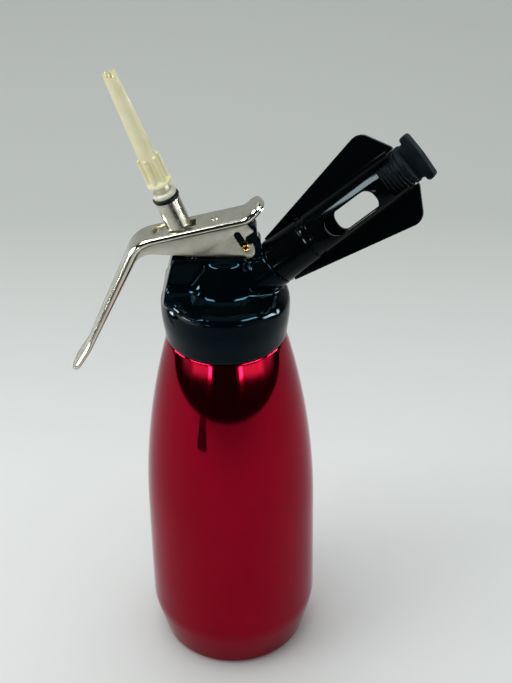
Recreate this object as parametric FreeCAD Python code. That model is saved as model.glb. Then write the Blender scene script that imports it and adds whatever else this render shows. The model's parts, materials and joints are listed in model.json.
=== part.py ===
"""Half-litre whipped cream dispenser with a butterfly charger holder.

Millimetres, +Z up. The origin is the centre of the bottle's base, +X points to the
charger holder and -X to the lever's handle.
"""
import FreeCAD
import Part
import math
import os

# ---------------------------------------------------------------- driving dimensions

# bottle
BOTTLE_RADIUS = 42.0
BOTTLE_WALL = 1.6
BASE_CORNER = 5.0
BASE_CONE_SLOPE = 0.243          # radius gained per millimetre of height
BASE_CONE_HEIGHT = 20.38         # from the corner's end to the sharp end of the cone
BASE_CONE_BLEND = 30.0
WALL_TOP_Z = 83.0
WALL_DRAFT = 0.25                # radius lost from the base blend to WALL_TOP_Z
SHOULDER_ARC = 392.0
SHOULDER_HEIGHT = 103.4          # from WALL_TOP_Z to the neck
NECK_LEDGE = 3.47                # width of the flat step round the neck
NECK_LENGTH = 18.6
NECK_WALL = 1.9
NECK_STEP = 5.0                  # the hollow starts to narrow this far below the neck
NECK_STEP_END = 0.8
NECK_THREAD_DEPTH = 1.1
NECK_THREAD_PITCH = 4.0
NECK_THREAD_RINGS = 3
NECK_THREAD_DROP = 1.5           # from the lip to the top ring
THREAD_RISE = 0.35               # share of the pitch at which a thread's ridge is full
THREAD_CREST = 0.5               # where it starts to fall
THREAD_FALL = 0.85               # and where it ends

# head, heights measured from the shoulder it stands over
SKIRT_OVERHANG = 0.53            # the skirt's rim outside the bottle's shoulder
SKIRT_RIM_ROUND = 0.8
SKIRT_SWELL = 1.6                # radius gained from the rim to the straight part
SKIRT_SWELL_HEIGHT = 12.6
SKIRT_BLEND = 40.0
HEAD_SHOULDER_ROUND = 8.0
HEAD_CROWN = 5.1                 # thickness over the gasket
HEAD_GAP = 0.4                   # between the bottle's shoulder and the skirt's rim
THREAD_CLEARANCE = 0.3
GASKET_THICKNESS = 2.4
GASKET_WIDTH = 4.4
TURRET_BASE_RADIUS = 16.8
TURRET_BASE_ROUND = 5.0          # hollow round between the shoulder and the turret
TURRET_TOP_RADIUS = 11.5
TURRET_TOP_ROUND = 2.0
TURRET_HEIGHT = 16.5
PEDESTAL_HALF_WIDTH = 8.0
PEDESTAL_FRONT = 9.4             # from the valve's axis at the lever to the pedestal's front
PEDESTAL_LEAN = 5.8              # the front leans back this far over its height
PEDESTAL_BACK = 2.0              # from the pin to the pedestal's back
PEDESTAL_DRAFT = 1.5
PEDESTAL_HEIGHT = 18.4
FLARE_RISE = 2.0                 # the pedestal's sides flare out below this, over the shoulder
FLARE_HALF_WIDTH = 14.2
FLARE_DROP = 3.0                 # and are this wide that far under the shoulder
FLARE_FOOT_HALF = 17.0
FLARE_FOOT_DROP = 12.5
FLARE_HOLLOW = 4.0
FLARE_ROUND = 3.0
FRONT_WALL_THICKNESS = 4.5
FRONT_WALL_DRAFT = 1.0
POST_FRONT = 13.95               # from the pin to the post's front
POST_BACK = 5.2                  # and to its back
POST_HEEL_RISE = 3.4             # the back runs out to the heel from this far over the pin
POST_HEEL = (6.9, 1.7)           # the heel's corner, in X and Z from the pin
SWING_GAP = 1.6                  # over the head with the lever squeezed
POST_ROUND = 4.0
POST_NOSE_ROUND = 1.2
CAST_ROUND = 1.0                 # smallest outside round on the casting

# lever
LEVER_SLOPE = 13.1               # degrees, the plate rises towards the lip
LEVER_SWING = 8.0                # degrees
LEVER_WIDTH = 14.4
LEVER_EDGE = 3.6                 # height of the rolled edge
LEVER_SHEET = 1.4
LEVER_RISE = 15.75               # from the pin to the plate's top face above it
LIP_BEND_OFFSET = 0.65           # the lip starts this far behind the pin
LIP_SLOPE = 45.65
LIP_LENGTH = 9.45
PLATE_LENGTH = 50.15
HANDLE_LENGTH = 63.7
HANDLE_LEAN = 24.5               # degrees from vertical
HANDLE_END_LENGTH = 15.15
HANDLE_END_LEAN = 32.3
LIP_BEND_RADIUS = 8.0
HANDLE_BEND_RADIUS = 13.0
KINK_RADIUS = 30.0
HANDLE_TOP_EDGE = 4.3            # height of the edge where the handle starts
HANDLE_WAIST_WIDTH = 11.0
HANDLE_WAIST_EDGE = 2.5
HANDLE_TIP_WIDTH = 13.0
HANDLE_TIP_EDGE = 2.3
STRAP_END_ROUND = 6.0
STRAP_END_FLAT = 0.3             # width left where the end's round meets the middle line
END_STEPS = 6
ARC_STEP = 5.0                   # degrees of a bend between two sections of the strap
KEYHOLE_RADIUS = 5.2
KEYHOLE_AHEAD = 7.55             # from the valve's axis
SLOT_BEHIND = 7.45
SLOT_CLEARANCE = 0.35
PIN_X = 9.95
PIN_HEIGHT = 23.0                # above the head's shoulder
PIN_RADIUS = 1.6
PIN_BORE = 0.9
PIN_FIT = 0.05
PIN_OVERHANG = 0.3
BRACKET_SHEET = 1.2
BRACKET_SIDE_GAP = 0.08
BRACKET_FRONT = 12.85            # the web's front end, ahead of the valve's axis
BRACKET_BACK = 0.45              # the web's back end, ahead of the pin
POCKET_GAP = 0.2
STEM_SLOT_FRONT = 4.0            # the bracket's slot for the stem, ahead of the valve's axis
POST_SIDE_GAP = 0.4
CHEEK_GAP = 0.8                  # under the cheeks with the lever squeezed
HOOK_TOP = (1.05, 11.3)          # corners of the cheek, in X and Z from the pin
HOOK_TIP = (3.75, 8.4, 0.3)
HOOK_THROAT = (0.2, 5.9, 0.3)
MOUTH_FLOOR = (-0.5, 2.1)
MOUTH_LIP = (3.25, 2.0, 0.4)
CHEEK_BACK = (4.05, -0.5, 1.0)
CHEEK_HEEL = (4.05, -5.8, 3.6)
CHEEK_WAIST = (-20.65, -4.3, 20.0)
CHEEK_TAIL = (-47.85, -2.1, 10.8)
CHEEK_TAIL_END = (-51.7, -9.4)
KEYWAY_LEAN = 3.65               # the upper hole stands this far ahead of the pin
KEYWAY_RISE = 6.8
RIVET_BEHIND = 8.4               # from the slot's end
RIVET_RADIUS = 1.2
RIVET_HEAD_RADIUS = 1.9
RIVET_HEAD_HEIGHT = 0.8
RIVET_RIM_HEIGHT = 0.24
RIVET_CROWN_RADIUS = 1.4
RIVET_TAIL_HEIGHT = 0.6

# valve, measured along its own axis from the top face of the lever's plate
VALVE_TILT = 19.5                # degrees from vertical, towards the handle
VALVE_X = -19.65
TUBE_RADIUS = 5.7
TUBE_FOOT = 1.2
TUBE_TOP = 14.9
TUBE_WALL = 2.15
TUBE_FLOOR = 3.8
STEM_RADIUS = 2.5
STEM_BORE = 1.4
STEM_TAIL = 1.1                  # past the nut
STEM_FIT = 0.05
COLLAR_RADIUS = 4.1
COLLAR_GAP = 0.6
COLLAR_THICKNESS = 1.6
SPRING_WIRE = 0.8
SPRING_RADIUS = 3.45
SPRING_TURNS = 6
SPRING_ROOM = 0.85               # round the spring in its pocket
GUIDE_FLANGE = 1.2
GUIDE_WALL = 1.3
GUIDE_LENGTH = 9.0
GUIDE_TO_SEAT = 20.2             # from the guide's top to the seat's face
GUIDE_FLANGE_GAP = 0.1
RING_SQUEEZE = 0.02
SEAT_DROP = 3.57                 # of the seat's middle below the head's ceiling
SEAT_RADIUS = 7.5
CROSS_HOLE_RISE = 4.5
CROSS_HOLE_RADIUS = 1.0
POPPET_SEAL_RADIUS = 6.0
POPPET_SEAL_THICKNESS = 2.0
POPPET_OVERHANG = 0.3
POPPET_THICKNESS = 2.4
POPPET_CHAMFER = 1.2
NUT_ACROSS_FLATS = 8.0
NUT_SIDES = 6
NUT_THICKNESS = 3.0

# nozzle
SPOUT_RING_WIRE = 1.05           # half the thickness of the ring's section
SPOUT_RING_OVERHANG = 0.4
ADAPTER_STEP = 0.25              # the flange's radius is this much under the tube's
ADAPTER_FLANGE = 2.6
ADAPTER_CHAMFER = 1.0
ADAPTER_NECK_RADIUS = 3.25
ADAPTER_SHANK = 8.0
ADAPTER_BORE = 1.8
ADAPTER_CLEARANCE = 0.06
ADAPTER_ROUND = 0.4
TIP_GAP = 3.4                    # from the adapter's flange to the tip's rim
TIP_LENGTH = 56.9
TIP_BASE_LENGTH = 15.0
TIP_BASE_WALL = 0.99
TIP_RIM_WIDTH = 1.4
TIP_RIM_HEIGHT = 1.4
TIP_RIM_SLOPE = 1.2
TIP_CONE_STEP = 0.05
TIP_MOUTH_RADIUS = 2.9
TIP_WALL = 0.9
TIP_SHOULDER_WALL = 1.3
TIP_SOCKET_DEPTH = 4.6
TIP_SOCKET_GAP = 0.4
TIP_RIBS = 6
TIP_RIB_RADIUS = 1.5
TIP_RIB_SINK = 0.25
TIP_RIB_START = 0.6
TIP_RIB_PHASE = 0.25             # share of the ribs' pitch
TIP_TEETH = 7
TIP_TOOTH_DEPTH = 3.2
TIP_TOOTH_SHARE = 0.8            # of the mouth's rim that the notches take

# charger boss and holder, measured along the holder's axis from the boss's face
CHARGER_SLOPE = 40.5             # degrees above +X
CHARGER_INSET = 6.1              # from the skirt's side to the middle of the boss's face
CHARGER_HEIGHT = 12.0            # above the head's shoulder
WING_TURN = 24.0                 # degrees about the holder's axis
BOSS_LENGTH = 17.0
BOSS_EDGE_ROUND = 0.7
STUD_THREAD_RADIUS = 8.3
STUD_THREAD_DEPTH = 0.8
STUD_COLLAR = 1.0
STUD_LENGTH = 12.0
STUD_SHANK_RADIUS = 5.0
STUD_SHANK = 9.0
STUD_CUP_RADIUS = 4.6
STUD_CUP_FLOOR = 3.0
GAS_HOLE_RADIUS = 1.2
GAS_TURN = -14.0
PIERCER_FLANGE_RADIUS = 3.0
PIERCER_FLANGE = 1.2
PIERCER_NEEDLE_RADIUS = 0.9
PIERCER_LENGTH = 6.0
PIERCER_POINT = 1.6
STUD_SEAL_FIT = 0.2
STUD_SEAL_THICKNESS = 2.0
CHECK_VALVE_RADIUS = 3.4
CHECK_VALVE_FACE_RADIUS = 2.4
CHECK_VALVE_CAP = 1.2
CHECK_VALVE_EDGE = 0.3
CHECK_VALVE_STEM = 2.5
CHECK_VALVE_FIT = 0.05
HOLDER_START = 0.4
HOLDER_RADIUS = 11.0
HOLDER_COLLAR_END = 19.6
HOLDER_GROOVE_WIDTH = 4.1
HOLDER_GROOVE_DEPTH = 0.5
HOLDER_GROOVE_RAMP = 0.6
HOLDER_LENGTH = 71.4
HOLDER_END_TAPER = 0.4
HOLDER_TAPER_LENGTH = 6.5
HOLDER_THREAD_GAP = 0.3          # round the stud's thread
HOLDER_THREAD_ROOM = 1.0         # past the stud's end
CHARGER_RADIUS = 9.0             # a standard 8 g gas charger
CHARGER_ROOM = 0.3
HOLDER_EDGE_ROUND = 0.6
WING_THICKNESS = 2.6
WING_ROOT_S = 2.4
WING_ROOT_STEP = 0.7              # of the wing's start past the holder's side
WING_CORNER_DROP = 5.4           # of the wing's corner from the holder's end
WING_REACH = 13.4                # of the corner past the holder's side
WING_CORNER_ROUND = 6.0
WING_END_RISE = 2.6              # of the wings beside the body, past the holder's end
WINDOW_WIDTH = 10.2
WINDOW_LENGTH = 27.2
WINDOW_DROP = 13.7               # of the window's end from the holder's end
WINDOW_SIDE_OFFSET = -2.4
WINDOW_ROUND = 4.6
NOTCH_WIDTH = 15.0
NOTCH_DEPTH = 7.4

# end plug, measured from the holder's end
PLUG_FIT = 0.1                   # round the thread, in the holder's bore
PLUG_THREAD_DEPTH = 0.75
PLUG_THREAD_PITCH = 1.8
PLUG_SHANK_LENGTH = 11.5
PLUG_THREAD_END = 2.6
PLUG_LEDGE = 2.2
PLUG_BORE = 6.0
PLUG_FLOOR = 0.2
PLUG_STEM_WIDTH = 17.0
PLUG_STEM_HEIGHT = 2.7
PLUG_THICKNESS = 8.0
PLUG_BAR_WIDTH = 22.4
PLUG_BAR_HEIGHT = 4.6
PLUG_BAR_CROWN = 0.6
PLUG_BAR_ROUND = 1.6
PLUG_BAR_BEND = 60.0
PLUG_STEM_ROUND = 0.8

PAST = 2.0                       # how far a cutting tool runs past what it cuts
SKIN = 0.1                       # and where it has to stay short

# ---------------------------------------------------------------- places worked out

cone_lean = math.atan(BASE_CONE_SLOPE)
CORNER_RISE = BASE_CORNER * (1 - math.sin(cone_lean))
BASE_FLAT_RADIUS = (BOTTLE_RADIUS - BASE_CONE_HEIGHT * BASE_CONE_SLOPE
                    - BASE_CORNER * math.cos(cone_lean))
NECK_Z = WALL_TOP_Z + SHOULDER_HEIGHT
LIP_Z = NECK_Z + NECK_LENGTH
GASKET_TOP = LIP_Z + GASKET_THICKNESS
SHELF_Z = GASKET_TOP + HEAD_CROWN
TURRET_TOP_Z = SHELF_Z + TURRET_HEIGHT
PEDESTAL_TOP_Z = SHELF_Z + PEDESTAL_HEIGHT


def shoulder_radius(z):
    """Outer radius of the bottle's shoulder at the height z."""
    climb = z - WALL_TOP_Z
    drop = SHOULDER_ARC - math.sqrt(SHOULDER_ARC ** 2 - climb ** 2)
    return BOTTLE_RADIUS - WALL_DRAFT - drop


NECK_RADIUS = shoulder_radius(NECK_Z) - NECK_LEDGE
SKIRT_RIM_RADIUS = shoulder_radius(NECK_Z) + SKIRT_OVERHANG
SKIRT_RADIUS = SKIRT_RIM_RADIUS + SKIRT_SWELL
BORE_RADIUS = NECK_RADIUS + NECK_THREAD_DEPTH + THREAD_CLEARANCE

PIN_Z = SHELF_Z + PIN_HEIGHT
LEVER_TAN = math.tan(math.radians(LEVER_SLOPE))
LEVER_COS = math.cos(math.radians(LEVER_SLOPE))
CHEEK_HALF = LEVER_WIDTH / 2 - LEVER_SHEET - BRACKET_SIDE_GAP
POST_HALF = CHEEK_HALF - BRACKET_SHEET - POST_SIDE_GAP


def plate_top_z(x):
    """Height of the lever plate's top face above the point x."""
    return PIN_Z + LEVER_RISE + (x - PIN_X) * LEVER_TAN


def from_corner(corner, length, degrees):
    """The (x, z) corner at a length and an angle above +X from another one."""
    angle = math.radians(degrees)
    return corner[0] + length * math.cos(angle), corner[1] + length * math.sin(angle)


lip_x = PIN_X + LIP_BEND_OFFSET
LIP_BEND = (lip_x, plate_top_z(lip_x) - LEVER_EDGE / 2 / LEVER_COS)
LIP_END = from_corner(LIP_BEND, LIP_LENGTH, LIP_SLOPE)
HANDLE_BEND = from_corner(LIP_BEND, PLATE_LENGTH, 180 + LEVER_SLOPE)
HANDLE_KINK = from_corner(HANDLE_BEND, HANDLE_LENGTH, 270 - HANDLE_LEAN)
HANDLE_TIP = from_corner(HANDLE_KINK, HANDLE_END_LENGTH, 270 - HANDLE_END_LEAN)

KEYHOLE_X = VALVE_X - KEYHOLE_AHEAD
SLOT_END_X = VALVE_X + SLOT_BEHIND
RIVET_X = SLOT_END_X + RIVET_BEHIND
BRACKET_START_X = VALVE_X - BRACKET_FRONT
BRACKET_END_X = PIN_X - BRACKET_BACK
PEDESTAL_FRONT_X = VALVE_X - PEDESTAL_FRONT
PEDESTAL_CREST_X = PEDESTAL_FRONT_X + PEDESTAL_LEAN
PEDESTAL_BACK_X = PIN_X + PEDESTAL_BACK
FRONT_WALL_BACK_X = PEDESTAL_CREST_X + FRONT_WALL_THICKNESS
POST_FRONT_X = PIN_X - POST_FRONT
POST_BACK_X = PIN_X + POST_BACK

VALVE_Z = plate_top_z(VALVE_X)
TUBE_BORE = TUBE_RADIUS - TUBE_WALL
SPRING_POCKET = SPRING_RADIUS + SPRING_WIRE / 2 + SPRING_ROOM
GUIDE_RADIUS = STEM_RADIUS + GUIDE_WALL
SEAT_FACE = -(VALVE_Z - GASKET_TOP + SEAT_DROP) / math.cos(math.radians(VALVE_TILT))
GUIDE_TOP = SEAT_FACE + GUIDE_TO_SEAT
GUIDE_END = GUIDE_TOP - GUIDE_FLANGE - GUIDE_LENGTH
CROSS_HOLE = SEAT_FACE + CROSS_HOLE_RISE
COLLAR_TOP = -LEVER_SHEET - BRACKET_SHEET - COLLAR_GAP
COLLAR_BOTTOM = COLLAR_TOP - COLLAR_THICKNESS
SEAL_BOTTOM = SEAT_FACE - POPPET_SEAL_THICKNESS
POPPET_RADIUS = POPPET_SEAL_RADIUS + POPPET_OVERHANG
POPPET_BOTTOM = SEAL_BOTTOM - POPPET_THICKNESS
NUT_BOTTOM = POPPET_BOTTOM - NUT_THICKNESS
STEM_END = NUT_BOTTOM - STEM_TAIL
RING_TOP = TUBE_TOP + 2 * SPOUT_RING_WIRE
SPOUT_RING_RADIUS = TUBE_RADIUS + SPOUT_RING_OVERHANG
FLANGE_TOP = RING_TOP + ADAPTER_FLANGE
ADAPTER_FLANGE_RADIUS = TUBE_RADIUS - ADAPTER_STEP
TIP_START = FLANGE_TOP + TIP_GAP
TIP_END = TIP_START + TIP_LENGTH
TIP_SOCKET_RADIUS = ADAPTER_NECK_RADIUS + ADAPTER_CLEARANCE
TIP_BASE_RADIUS = TIP_SOCKET_RADIUS + TIP_BASE_WALL
TIP_RIM_RADIUS = TIP_BASE_RADIUS + TIP_RIM_WIDTH
TIP_CONE_RADIUS = TIP_BASE_RADIUS - TIP_CONE_STEP

CHARGER_X = SKIRT_RADIUS - CHARGER_INSET
CHARGER_Z = SHELF_Z + CHARGER_HEIGHT
BOSS_RADIUS = HOLDER_RADIUS
STUD_ROOT_RADIUS = STUD_THREAD_RADIUS - STUD_THREAD_DEPTH
HOLDER_END = HOLDER_START + HOLDER_LENGTH
HOLDER_GROOVE_END = HOLDER_COLLAR_END + HOLDER_GROOVE_WIDTH
HOLDER_GROOVE_RADIUS = HOLDER_RADIUS - HOLDER_GROOVE_DEPTH
HOLDER_THREAD_BORE = STUD_THREAD_RADIUS + HOLDER_THREAD_GAP
HOLDER_THREAD_LENGTH = STUD_LENGTH + HOLDER_THREAD_ROOM
HOLDER_BORE = CHARGER_RADIUS + CHARGER_ROOM
WING_CORNER_S = HOLDER_END - WING_CORNER_DROP
WING_CORNER_X = HOLDER_RADIUS + WING_REACH
PLUG_CREST_RADIUS = HOLDER_BORE - PLUG_FIT
PLUG_ROOT_RADIUS = PLUG_CREST_RADIUS - PLUG_THREAD_DEPTH

# ---------------------------------------------------------------- shape helpers


def vec(x, y, z):
    return FreeCAD.Vector(x, y, z)


def frame_of(origin, x_axis, z_axis):
    """Placement that takes local X and Z to the given directions."""
    y_axis = z_axis.cross(x_axis)
    m = FreeCAD.Matrix(x_axis.x, y_axis.x, z_axis.x, origin.x,
                       x_axis.y, y_axis.y, z_axis.y, origin.y,
                       x_axis.z, y_axis.z, z_axis.z, origin.z,
                       0, 0, 0, 1)
    return FreeCAD.Placement(m)


def placed(shape, placement):
    moved = shape.copy()
    moved.Placement = placement.multiply(moved.Placement)
    return moved


def rounded_wire(points, plane="xz"):
    """Closed wire through (a, b) or (a, b, radius) corners, with tangent arcs."""
    corners = [(p[0], p[1], p[2] if len(p) > 2 else 0.0) for p in points]
    lay = {"xz": lambda a, b: vec(a, 0, b), "xy": lambda a, b: vec(a, b, 0),
           "yz": lambda a, b: vec(0, a, b)}[plane]
    starts, ends, middles = [], [], []
    for i, (a, b, radius) in enumerate(corners):
        here = vec(a, b, 0)
        back = vec(corners[i - 1][0], corners[i - 1][1], 0) - here
        onward = corners[(i + 1) % len(corners)]
        forth = vec(onward[0], onward[1], 0) - here
        back.normalize()
        forth.normalize()
        if radius <= 0:
            starts.append(here)
            ends.append(here)
            middles.append(None)
            continue
        half = back.getAngle(forth) / 2
        setback = radius / math.tan(half)
        bisector = (back + forth).normalize()
        centre = here + bisector * (radius / math.sin(half))
        starts.append(here + back * setback)
        ends.append(here + forth * setback)
        middles.append(centre - bisector * radius)
    edges = []
    for i in range(len(corners)):
        first, last = starts[i], ends[i]
        if middles[i] is not None:
            edges.append(Part.Arc(lay(first.x, first.y), lay(middles[i].x, middles[i].y),
                                  lay(last.x, last.y)).toShape())
        following = starts[(i + 1) % len(corners)]
        if last.distanceToPoint(following) > 1e-6:
            edges.append(Part.makeLine(lay(last.x, last.y), lay(following.x, following.y)))
    return Part.Wire(edges)


def turned(points):
    """Solid of revolution about Z from (radius, z) or (radius, z, round) corners."""
    face = Part.Face(rounded_wire(points))
    return face.revolve(vec(0, 0, 0), vec(0, 0, 1), 360)


def slab(points, half_width):
    """Prism across Y from (x, z) or (x, z, round) corners."""
    face = Part.Face(rounded_wire(points))
    face.translate(vec(0, -half_width, 0))
    return face.extrude(vec(0, 2 * half_width, 0))


def cross_rod(radius, half_length, x, z):
    """Cylinder along Y, centred on the XZ plane."""
    return Part.makeCylinder(radius, 2 * half_length, vec(x, -half_length, z), vec(0, 1, 0))


def rod(radius, z0, z1):
    return Part.makeCylinder(radius, z1 - z0, vec(0, 0, z0))


def tube(outer, inner, z0, z1):
    return rod(outer, z0, z1).cut(rod(inner, z0 - PAST, z1 + PAST))


def box(x0, x1, y0, y1, z0, z1):
    return Part.makeBox(x1 - x0, y1 - y0, z1 - z0, vec(x0, y0, z0))


def thread_corners(crest, depth, pitch, z0, count):
    """Corners of ring-shaped ridges, from the bottom one up."""
    corners = []
    for i in range(count):
        base = z0 + i * pitch
        corners += [(crest - depth, base), (crest, base + pitch * THREAD_RISE),
                    (crest, base + pitch * THREAD_CREST),
                    (crest - depth, base + pitch * THREAD_FALL)]
    return corners


def tilted_frame(x, z, degrees):
    """Frame at (x, 0, z) whose local Z leans from vertical towards -X."""
    angle = math.radians(degrees)
    return frame_of(vec(x, 0, z), vec(math.cos(angle), 0, math.sin(angle)),
                    vec(-math.sin(angle), 0, math.cos(angle)))


PLATE_FRAME = tilted_frame(LIP_BEND[0], plate_top_z(LIP_BEND[0]), LEVER_SLOPE)
VALVE_FRAME = tilted_frame(VALVE_X, VALVE_Z, VALVE_TILT)
rise = math.radians(CHARGER_SLOPE)
turn = math.radians(WING_TURN)
CHARGER_FRAME = frame_of(vec(CHARGER_X, 0, CHARGER_Z),
                         vec(-math.sin(rise) * math.cos(turn), math.sin(turn),
                             math.cos(rise) * math.cos(turn)),
                         vec(math.cos(rise), 0, math.sin(rise)))


def plate_u(x):
    """Distance along the lever's plate of the point above x, from the lip's bend."""
    return (x - LIP_BEND[0]) / LEVER_COS


# ---------------------------------------------------------------- bottle


def bottle_profile(offset, top_z):
    """Edges of the bottle's outline up to top_z, moved inwards by offset."""
    corner = BASE_CORNER - offset
    corner_mid = (cone_lean - math.pi / 2) / 2
    flat = vec(BASE_FLAT_RADIUS, 0, offset)
    arc_mid = vec(BASE_FLAT_RADIUS + corner * math.cos(corner_mid), 0,
                  BASE_CORNER + corner * math.sin(corner_mid))
    cone_start = vec(BASE_FLAT_RADIUS + corner * math.cos(cone_lean), 0,
                     BASE_CORNER - corner * math.sin(cone_lean))
    wall_r = BOTTLE_RADIUS - offset
    cone_top_z = CORNER_RISE + BASE_CONE_HEIGHT
    blend = BASE_CONE_BLEND * math.tan(cone_lean / 2)
    cone_end = vec(wall_r - blend * math.sin(cone_lean), 0,
                   cone_top_z - blend * math.cos(cone_lean))
    blend_mid = vec(wall_r - BASE_CONE_BLEND * (1 - math.cos(cone_lean / 2)), 0,
                    cone_top_z + blend - BASE_CONE_BLEND * math.sin(cone_lean / 2))
    wall_start = vec(wall_r, 0, cone_top_z + blend)
    wall_end = vec(wall_r - WALL_DRAFT, 0, WALL_TOP_Z)
    middle_z = (WALL_TOP_Z + top_z) / 2
    shoulder_mid = vec(shoulder_radius(middle_z) - offset, 0, middle_z)
    shoulder_end = vec(shoulder_radius(top_z) - offset, 0, top_z)
    return [Part.makeLine(vec(0, 0, offset), flat),
            Part.Arc(flat, arc_mid, cone_start).toShape(),
            Part.makeLine(cone_start, cone_end),
            Part.Arc(cone_end, blend_mid, wall_start).toShape(),
            Part.makeLine(wall_start, wall_end),
            Part.Arc(wall_end, shoulder_mid, shoulder_end).toShape()]


def closed_turning(edges, top_points):
    """Revolve an open outline that is closed through top_points and the axis."""
    wires = list(edges)
    last = edges[-1].Vertexes[-1].Point
    for point in top_points + [vec(0, 0, top_points[-1].z), edges[0].Vertexes[0].Point]:
        if point.distanceToPoint(last) > 1e-6:
            wires.append(Part.makeLine(last, point))
            last = point
    face = Part.Face(Part.Wire(Part.__sortEdges__(wires)))
    return face.revolve(vec(0, 0, 0), vec(0, 0, 1), 360)


def make_bottle():
    rings_z = LIP_Z - NECK_THREAD_DROP - NECK_THREAD_RINGS * NECK_THREAD_PITCH
    neck = [vec(NECK_RADIUS, 0, NECK_Z)]
    for r, z in thread_corners(NECK_RADIUS + NECK_THREAD_DEPTH, NECK_THREAD_DEPTH,
                               NECK_THREAD_PITCH, rings_z, NECK_THREAD_RINGS):
        neck.append(vec(r, 0, z))
    neck.append(vec(NECK_RADIUS, 0, LIP_Z))
    outside = closed_turning(bottle_profile(0.0, NECK_Z), neck)
    bore = NECK_RADIUS - NECK_WALL
    hollow = closed_turning(bottle_profile(BOTTLE_WALL, NECK_Z - NECK_STEP),
                            [vec(bore, 0, NECK_Z - NECK_STEP_END), vec(bore, 0, LIP_Z + PAST)])
    return outside.cut(hollow)


def make_head_gasket():
    return tube(NECK_RADIUS, NECK_RADIUS - GASKET_WIDTH, LIP_Z, GASKET_TOP)


# ---------------------------------------------------------------- head


def swing_limit(x):
    """Highest place at x that clears the lever's web, squeezed or at rest."""
    reach = LEVER_RISE * LEVER_COS - LEVER_SHEET - BRACKET_SHEET
    heights = []
    for swing in (0.0, LEVER_SWING):
        angle = math.radians(LEVER_SLOPE + swing)
        heights.append(PIN_Z + reach / math.cos(angle) + (x - PIN_X) * math.tan(angle))
    return min(heights) - SWING_GAP


def make_dome():
    """Turned body of the head: skirt, rounded shoulder and turret."""
    rim_z = NECK_Z + HEAD_GAP
    return turned([(0, rim_z), (SKIRT_RIM_RADIUS, rim_z, SKIRT_RIM_ROUND),
                   (SKIRT_RADIUS, NECK_Z + SKIRT_SWELL_HEIGHT, SKIRT_BLEND),
                   (SKIRT_RADIUS, SHELF_Z, HEAD_SHOULDER_ROUND),
                   (TURRET_BASE_RADIUS, SHELF_Z, TURRET_BASE_ROUND),
                   (TURRET_TOP_RADIUS, TURRET_TOP_Z, TURRET_TOP_ROUND), (0, TURRET_TOP_Z)])


def front_x(z):
    """Place of the pedestal's leaning front at the height z."""
    lean = PEDESTAL_LEAN / (PEDESTAL_TOP_Z - GASKET_TOP)
    return PEDESTAL_CREST_X + lean * (z - PEDESTAL_TOP_Z)


def make_pedestal():
    """Block under the lever whose sides flare out over the shoulder to the skirt."""
    foot_z = SHELF_Z - FLARE_FOOT_DROP
    half = [(FLARE_FOOT_HALF, foot_z), (FLARE_HALF_WIDTH, SHELF_Z - FLARE_DROP, FLARE_ROUND),
            (PEDESTAL_HALF_WIDTH, SHELF_Z + FLARE_RISE, FLARE_HOLLOW),
            (PEDESTAL_HALF_WIDTH, PEDESTAL_TOP_Z, CAST_ROUND)]
    mirrored = [(-corner[0],) + corner[1:] for corner in reversed(half)]
    section = Part.Face(rounded_wire(half + mirrored, "yz"))
    section.translate(vec(-SKIRT_RADIUS, 0, 0))
    flared = section.extrude(vec(2 * SKIRT_RADIUS, 0, 0))
    side = slab([(front_x(foot_z), foot_z), (PEDESTAL_BACK_X, foot_z),
                 (PEDESTAL_BACK_X - PEDESTAL_DRAFT, PEDESTAL_TOP_Z, CAST_ROUND),
                 (PEDESTAL_CREST_X, PEDESTAL_TOP_Z, CAST_ROUND)], SKIRT_RADIUS)
    return flared.common(side).common(rod(SKIRT_RADIUS - SKIN, foot_z, PEDESTAL_TOP_Z))


def make_front_wall():
    """Narrow wall that stands up between the lever's cheeks, ahead of the valve."""
    low = SHELF_Z + HEAD_SHOULDER_ROUND
    top = swing_limit(PEDESTAL_CREST_X)
    return slab([(front_x(low), low), (FRONT_WALL_BACK_X, low),
                 (FRONT_WALL_BACK_X, PEDESTAL_TOP_Z),
                 (FRONT_WALL_BACK_X - FRONT_WALL_DRAFT, top, CAST_ROUND),
                 (front_x(top), top, CAST_ROUND)], POST_HALF)


def make_post():
    """Narrow post that carries the lever's pin."""
    low = SHELF_Z + HEAD_SHOULDER_ROUND
    top = swing_limit(PIN_X)
    heel_x = PIN_X + POST_HEEL[0]
    return slab([(POST_FRONT_X, low), (heel_x, low), (heel_x, PIN_Z + POST_HEEL[1]),
                 (POST_BACK_X, PIN_Z + POST_HEEL_RISE), (POST_BACK_X, top, POST_ROUND),
                 (PIN_X, top), (POST_FRONT_X, swing_limit(POST_FRONT_X), POST_NOSE_ROUND)],
                POST_HALF)


def squeezed(offset):
    """Place of a lever corner, given from the pin, with the lever squeezed."""
    swing = math.radians(LEVER_SWING)
    return (PIN_X + offset[0] * math.cos(swing) - offset[1] * math.sin(swing),
            PIN_Z + offset[0] * math.sin(swing) + offset[1] * math.cos(swing))


def make_cheek_room():
    """Space that the lever bracket's cheeks sweep on both sides of the post."""
    back = POST_BACK_X + PAST
    high = PIN_Z + LEVER_RISE
    waist, tail = squeezed(CHEEK_WAIST), squeezed(CHEEK_TAIL)
    heel_z = PIN_Z + CHEEK_HEEL[1] - CHEEK_GAP
    room = slab([(tail[0], tail[1] - CHEEK_GAP), (waist[0], waist[1] - CHEEK_GAP),
                 (PIN_X, heel_z), (back, heel_z), (back, high), (tail[0], high)],
                CHEEK_HALF + POST_SIDE_GAP)
    middle = box(tail[0] - PAST, back + PAST, -POST_HALF, POST_HALF, SHELF_Z, high + PAST)
    return room.cut(middle)


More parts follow.
